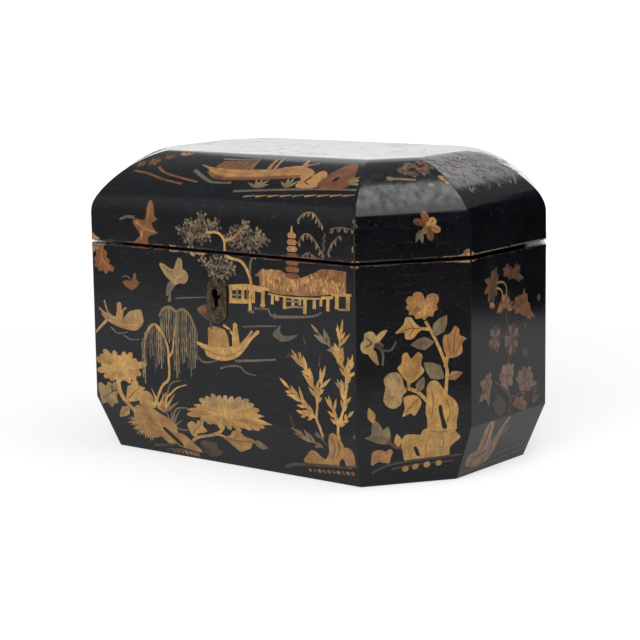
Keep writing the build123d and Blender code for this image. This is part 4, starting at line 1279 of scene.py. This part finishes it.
stroke(d, "brown_gold", [(-19.4, 7.8), (-12, 11.8), (0, 13.4), (12, 14), (26.6, 14.8)], 1.7, 0.7, 0.13)
stroke(d, "brown_gold", [(-9, 9.4), (4, 11), (22.6, 11.4)], 1.1, 0.7)
for spot in ((-2, 9), (3, 9.8), (9, 10.4), (15, 10.8)):
    disc(d, "gold", spot, 3.5)

# A flower on the lid's rim, and twigs and tufts on its arch
for turn, far, wide, finish in (
        (102, 7, 3.8, "red_gold"), (162, 7.4, 3.6, "red_gold"), (28, 5, 4.2, "amber"),
        (-30, 7.4, 3.8, "amber"), (-76, 8.2, 3.8, "red_gold"), (-118, 5, 3, "straw")):
    angle = math.radians(turn)
    tip = (7.4 + far * math.cos(angle), 130.4 + far * math.sin(angle))
    blade(d, finish, (7.4, 130.4), tip, wide, 0.1, petal_form, vein="brown_gold")
disc(d, "gold", (7.6, 130.6), 2.4, 0.2)
for tip in ((1.4, 122), (4.8, 121.2)):
    blade(d, "olive_gold", (3.6, 128), tip, 2.6)
stroke(d, "straw", [(-6, 160), (0, 159), (8, 157.6)], 1.8, 0.8)
disc(d, "straw", (-4.6, 159.6), 3.4)
disc(d, "straw", (14.6, 153.2), 3.0)
for spot, reach in (
        ((4, 166), 4.6), ((9, 171), 5), ((14, 165), 5), ((19, 169), 4.6), ((8, 162.6), 3.6),
        ((16, 174), 4)):
    tuft(d, ("brown_gold", "red_gold", "brown_gold"), spot, reach, 2.2, 8, spot[0])
for tip in ((20, 160), (24, 163), (27, 158), (23, 153)):
    blade(d, "amber", (24, 156), tip, 4, 0.1)

# Chips and worn lips
chips = (
    [(-30, 113.6), (-29.6, 115.2), (-27.6, 114.8), (-26, 113.6)],
    [(-30, 129), (-28, 130), (-27.6, 132), (-28.2, 133), (-27.8, 135.6), (-30, 136.6)],
    [(8, 112.6), (30, 112.6), (30, 111), (26, 111.4), (20, 111.9)],
    [(13, 113.6), (16, 114.6), (22, 114.4), (25, 115), (26.4, 117), (27.8, 117.6), (30, 117), (30, 113.6)],
    [(-30, 112.6), (-27, 112.6), (-28.4, 111), (-30, 110.8)],
    [(-30, 29.4), (-28.7, 30.6), (-29, 32), (-30, 32.2)],
)
for chip in chips:
    mass(d, "ground", chip, 0.14, 0)
strokes(d, "brown_gold", (
    [(-28, lid_lip), (-6, lid_lip)], [(0, lid_lip), (12, lid_lip)], [(-20, case_lip), (-11, case_lip)]),
    0.45, 0.6, 0.1)
lay("front_right_gilding", "front_right", peonies, finishes)
lay("front_left_gilding", "front_left", peonies, finishes, True)
lay("back_right_gilding", "back_right", peonies, finishes, True)
lay("back_left_gilding", "back_left", peonies, finishes)

# Flowering branch on the ends
# A tall branch of late-summer flowers over a garden rock, in thinner and browner gold than the front,
# the browner gold in part painted shade, since the ends lie in shade.
branch = []
d = branch
stroke(d, "brown_gold", [(-0.6, 31), (0.6, 38.6), (-6, 45), (-14, 49.6)], 1.8, 0.7, 0.1)
stroke(d, "brown_gold", [(1, 38), (-2, 48), (-1, 60), (2, 68), (-3, 79), (-2, 88)], 1.6, 0.7)
stroke(d, "brown_gold", [(1.6, 39), (9, 39.4), (26, 41)], 1.4, 0.5)
stroke(d, "straw", [(-12, 98.6), (-6, 98), (-3, 95), (-3.4, 91)], 1.2, 0.7, 0.1)
stroke(d, "gold", [(-12, 96), (-8, 94.4), (-6, 91)], 1.0, 0.7, 0.1)
stroke(d, "brown_gold", [(-7.6, 71.6), (-3, 70.4)], 1.4, 0.8)

# The flowers, each with the gold under it, its petals' gold, its outline and its heart. The brown gold
# under the top two is painted shade over the top of the end.
flowers = (
    ("brown_gold", "red_gold", [(-23, 101.6), (-17, 102), (-15.6, 105.6), (-11.6, 106), (-10.2, 101),
     (-10.8, 97), (-11.6, 92), (-15, 89.2), (-20, 89.8), (-18.4, 93.6), (-23.4, 94.4), (-20.4, 98)],
     (-15.6, 98)),
    ("brown_gold", "red_gold", [(-6.4, 105), (-2, 107.2), (3, 103.6), (7, 106.4), (10.4, 104),
     (9.2, 101), (13.4, 97.4), (8, 96.6), (4, 98.8), (-1, 98.6), (-6.4, 102)], (2, 102)),
    ("red_gold", "amber", [(-12, 83.6), (-9.6, 88), (-6.6, 92), (-2, 92.4), (0, 89), (4, 86.6),
     (2.2, 82.6), (-1, 82.8), (-4, 84.8), (-8, 82)], (-4, 87.4)),
    ("red_gold", "red_gold", [(3, 85), (6, 89.4), (11, 89.6), (14, 92.4), (16.8, 88), (19.6, 82),
     (24, 76.2), (17, 76.6), (11, 79.6), (4.6, 81)], (11, 84)),
    ("brown_gold", "dusty_gold", [(-19.4, 69), (-15, 71.5), (-18, 76.2), (-12, 78), (-8.8, 75.2),
     (-8, 71), (-9.2, 66), (-11.4, 62.4), (-14, 65.8), (-18, 65.8)], (-13, 71)),
    ("brown_gold", "dusty_gold", [(-5, 70), (-4, 74), (0, 76.4), (5, 76.4), (8.4, 73.6), (9, 69),
     (8, 64), (4, 60.6), (0, 60), (-4.4, 62.6), (-5.4, 66)], (2, 68.4)),
    ("dusty_gold", "dusty_gold",
     [(-9.4, 52), (-6, 56.8), (0, 57), (4.4, 55), (3.8, 50), (2.2, 44.6), (-3, 43), (-8, 45.2)],
     (-2.6, 50.4)),
    ("dusty_gold", "dusty_gold", [(5.6, 48), (9, 51.4), (14, 52.8), (20.4, 51.2), (22.4, 46),
     (26, 41.2), (18, 39.2), (12, 38), (8.6, 43)], (14.4, 45.4)),
    ("dusty_gold", "dusty_gold", [(-27, 51.6), (-22, 52.2), (-21, 54.6), (-16.6, 54.4), (-16.2, 48),
     (-18.2, 43), (-18.8, 37.4), (-21, 41.2), (-28, 41.8), (-24.6, 46)], (-20.6, 48)),
    ("brown_gold", "brown_gold",
     [(-16, 39), (-11, 43), (-7, 40.4), (-3.2, 36), (-3.8, 32), (-10, 31.2), (-14.4, 34)], (-9, 36.6)),
    ("red_gold", "red_gold", [(2.2, 35.4), (7, 38.4), (13, 37.4), (17, 33), (15.2, 30.2), (9, 31.2)],
     (9, 34)),
)
for under, finish, outline, heart in flowers:
    heart = Vector(heart)
    ragged = []
    for i, point in enumerate(outline):
        here = Vector(point)
        following = Vector(outline[(i + 1) % len(outline)])
        ragged += [here, here.lerp(following, 0.36).lerp(heart, 0.16)]
        ragged.append(here.lerp(following, 0.64).lerp(heart, -0.04))
    mass(d, under, ragged, 0.07, 0)
    for i, point in enumerate(outline[::2]):
        tip = heart.lerp(Vector(point), 0.9)
        blade(d, finish, heart.lerp(tip, 0.1), tip, 2.6, 0.1 + 0.005 * (i % 4), petal_form)
        stroke(d, "brown_gold", [heart.lerp(tip, 0.2), heart.lerp(tip, 0.75)], 0.5, 0.4, 0.15)

# A chip in the upper flower, and loose leaves
disc(d, "ground", (-16, 87.8), 3.6)
stroke(d, "ground", [(-18, 88.4), (-14, 87)], 2.2, 0.8, 0.13)
for base, tip in (
        ((14, 57), (17, 62)), ((13, 58), (13.4, 63)), ((22, 36), (27, 43)), ((21, 33), (29, 36)),
        ((15, 75), (14, 72)), ((27, 88), (28, 84))):
    blade(d, "brown_gold", base, tip, 3.6)

# The rock and the dotted ground
mass(d, "dusty_gold", [
    (-20.4, 18), (-19.8, 27), (-16, 30), (-12.4, 28.2), (-10.8, 21), (-9, 16.8), (-5, 19), (-2.2, 15),
    (-3.8, 9), (-8, 4.6), (-16, 3.6), (-24, 5.2), (-28, 8.4), (-26.4, 13.2), (-20.6, 14.2)], 0.07)
strokes(d, "amber", (
    [(-17.8, 27), (-17.4, 20), (-21, 12.4)], [(-13.6, 27), (-13.2, 20), (-12, 13)],
    [(-25.4, 9), (-18, 6.6), (-9, 7.8)], [(-5.4, 16), (-5.4, 10)]), 2.4, 0.5, 0.1)
strokes(d, "brown_gold", (
    [(-16, 28), (-15.4, 20), (-18, 12)], [(-24, 11), (-18, 10), (-10, 12)],
    [(-7, 17), (-7.6, 11), (-11, 6)]), 0.9, 0.5, 0.14)
mass(d, "dusty_gold", [
    (-10, 15), (-7.4, 20), (-3.4, 25.4), (0.4, 29.4), (1.6, 27.6), (-1.4, 21.6), (-3, 14), (-6, 10)],
    0.08)
stroke(d, "amber", [(-6.4, 16), (-3, 22.4), (0, 27.6)], 1.6, 0.5, 0.1)
for tip in ((5, 24.6), (4, 20.4)):
    blade(d, "brown_gold", (-3, 18), tip, 3.6, 0.06)
stroke(d, "brown_gold", [(-30, 3.4), (-8, 3.2), (14, 4.4), (28, 5)], 1.3, 0.8)
for k in range(7):
    disc(d, "brown_gold", (k * 4, 7.4 + k * 0.3), 2.6)

# Blades of grass strewn over the lid's arch
chance = random.Random(11)
for k in range(110):
    spot = Vector((-29 + 56 * chance.random(), 145 + 33 * chance.random()))
    angle = math.radians(20 + 50 * chance.random() if k % 3 else 110 + 40 * chance.random())
    far = 2.6 + 3.4 * chance.random()
    finish = "red_gold" if spot.x < -20 and k % 2 else ("brown_gold", "dusty_gold", "brown_gold")[k % 3]
    blade(d, finish, spot, spot + far * Vector((math.cos(angle), math.sin(angle))), 1.5, 0.08 + 0.0006 * k)

# Chips and worn lips
chips = (
    [(-37, 113.6), (-37, 116.6), (-34, 116.4), (-32, 115), (-28, 114.4), (-27, 113.6)],
    [(-37, 112.6), (-29, 112.6), (-31, 111.6), (-34, 111.4), (-37, 109.6)],
    [(31, 113.6), (32, 114.6), (35, 114.8), (35, 113.6)],
)
for chip in chips:
    mass(d, "ground", chip, 0.14, 0)
strokes(d, "straw", ([(-27, lid_lip), (-2, lid_lip)], [(1, lid_lip), (30, lid_lip)]), 0.5, 0.7, 0.1)
lay("right_end_gilding", "right_end", branch, finishes)
lay("left_end_gilding", "left_end", branch, finishes, True)

# Paper floor
# A roll of white paper laid on a table and swept up far behind and around, so it is the whole background. It
# shows white to the eye and in the polish, and keeps the box's own soft shadow.
paper_white = "#bcbcbb"
floor_reach = 5.0
sweep_radius = 1.3
floor_drop = 0.3 * mm
near_glow = 0.63
near_polish = 0.35
rings = [(reach, -floor_drop) for reach in (0.3, 0.6, 1.2, 2.4, 3.8, floor_reach)]
for step in range(1, 9):
    turn = math.radians(90) * step / 8
    rings.append((floor_reach + sweep_radius * math.sin(turn),
                  sweep_radius * (1 - math.cos(turn)) - floor_drop))
spokes = 64
verts = [(0, 0, -floor_drop)]
faces = []
for row, (reach, height) in enumerate(rings):
    for k in range(spokes):
        angle = math.tau * k / spokes
        verts.append((reach * math.cos(angle), reach * math.sin(angle), height))
        here = 1 + row * spokes + k
        following = 1 + row * spokes + (k + 1) % spokes
        band = (here, following, following - spokes, here - spokes)
        faces.append(band if row else (0, here, following))
paper_mesh = bpy.data.meshes.new("paper_floor")
paper_mesh.from_pydata(verts, [], faces)
paper_mesh.polygons.foreach_set("use_smooth", [True] * len(faces))
paper_floor = put("paper_floor", paper_mesh)
paper, tree, shader, place = start_material("white_paper")
tree.nodes.remove(shader)
seen = add(tree, "ShaderNodeLightPath")
polish = add(tree, "ShaderNodeMath", {0: seen.outputs["Is Glossy Ray"],
                                      1: seen.outputs["Is Transmission Ray"]}, operation="MAXIMUM")
away = add(tree, "ShaderNodeVectorMath", {0: place}, operation="LENGTH")
glow_level = 0.0
for ray, nearest in ((seen.outputs["Is Camera Ray"], near_glow), (polish.outputs[0], near_polish)):
    strength = add(tree, "ShaderNodeMapRange", {"Value": away.outputs["Value"], "From Min": 0.35,
                                                "From Max": 1.3, "To Min": nearest, "To Max": 1.0})
    glow_level = add(tree, "ShaderNodeMath", {0: ray, 1: strength.outputs["Result"], 2: glow_level},
                     operation="MULTIPLY_ADD").outputs[0]
matt = add(tree, "ShaderNodeBsdfDiffuse", {"Color": linear(paper_white)})
glow = add(tree, "ShaderNodeEmission", {"Color": (1, 1, 1, 1), "Strength": glow_level})
both = add(tree, "ShaderNodeAddShader", {0: matt.outputs[0], 1: glow.outputs[0]})
tree.links.new(both.outputs[0], tree.nodes["Material Output"].inputs["Surface"])
paper_mesh.materials.append(paper)

# Studio light
# Softboxes behind, above and in front of the box, in a dim room. Glowing grey and near-black cards stand
# round it out of the picture, brighter or darker with height, and show only in the polish, as painted
# reflections on the lacquer.
world = bpy.data.worlds.new("dim_room")
bpy.context.scene.world = world
world.use_nodes = True
plug(world.node_tree, world.node_tree.nodes["Background"], {"Color": (0.92, 0.97, 1.0, 1), "Strength": 0.3})
softboxes = (
    ("rear_softbox", (-0.61, 1.37, 0.765), (0, 0, 0.765), 1.36, 0.87, 0.8),
    ("back_right_softbox", (-0.15, 1.2, 1.2), (0, 0, 0.15), 0.5, 0.45, 1.2),
    ("top_softbox", (0.55, 0.17, 1.3), (0.55, 0.17, 0), 0.95, 0.72, 2.3),
    ("front_fill", (0.35, -1.12, 0.8), (0, 0, 0.06), 1.0, 1.0, 3.9),
)
for name, stand, aim, wide, high, radiance in softboxes:
    lamp = bpy.data.lights.new(name, "AREA")
    lamp.shape = "RECTANGLE"
    lamp.size = wide
    lamp.size_y = high
    lamp.energy = radiance * math.pi * wide * high
    softbox = put(name, lamp)
    softbox.location = stand
    softbox.rotation_euler = (Vector(aim) - Vector(stand)).to_track_quat("-Z", "Y").to_euler()
cards = (
    ("end_card", (0.405, 0.366), 37.9, 0.7, 0.43, ((0, 0.02), (1, 0.02))),
    ("cant_card", (0.312, -0.128), 108.5, 0.3, 0.42, ((0, 0.4), (0.24, 0.08), (1, 0.08))),
    ("front_card", (-0.34, -0.516), 217.9, 0.7, 1.0, ((0, 0.6), (0.04, 0.34), (0.2, 0.38), (0.5, 0.6))),
)
for name, stand, facing, wide, high, shades in cards:
    mesh = bpy.data.meshes.new(name)
    mesh.from_pydata([(-wide / 2, 0, 0), (wide / 2, 0, 0), (wide / 2, 0, high), (-wide / 2, 0, high)], [],
                     [(0, 1, 2, 3)])
    card = put(name, mesh)
    card.location = (*stand, 0)
    card.rotation_euler = (0, 0, -math.radians(facing))
    card_glow, tree, shader, place = start_material(name)
    tree.nodes.remove(shader)
    level = add(tree, "ShaderNodeSeparateXYZ", {0: place})
    share = add(tree, "ShaderNodeMath", {0: level.outputs["Z"], 1: high}, operation="DIVIDE")
    # Each card's glow changes with height, as painted reflections in the lacquer.
    greys = [(part, (shade, shade, shade, 1)) for part, shade in shades]
    ramp = add(tree, "ShaderNodeValToRGB", {"Fac": share.outputs[0]}, greys)
    lit = add(tree, "ShaderNodeEmission", {"Color": ramp.outputs["Color"], "Strength": 1.0})
    tree.links.new(lit.outputs[0], tree.nodes["Material Output"].inputs["Surface"])
    mesh.materials.append(card_glow)
    card.visible_camera = False
    card.visible_diffuse = False
    card.visible_shadow = False

# Camera
# A long lens a metre away, a little above the box and to the right of its front.
lens_length = 109.2
camera_place = Vector((0.6296, -0.8079, 0.2371))
camera_aim = Vector((0.0026, -0.0024, 0.0658))
camera_roll = math.radians(-0.806)
camera_data = bpy.data.cameras.new("camera")
camera_data.sensor_width = 36.0
camera_data.lens = lens_length
camera = put("camera", camera_data)
turn = (camera_aim - camera_place).to_track_quat("-Z", "Y").to_matrix().to_4x4()
camera.matrix_world = Matrix.Translation(camera_place) @ turn @ Matrix.Rotation(camera_roll, 4, "Z")
bpy.context.scene.camera = camera
bpy.context.scene.view_settings.view_transform = "Standard"
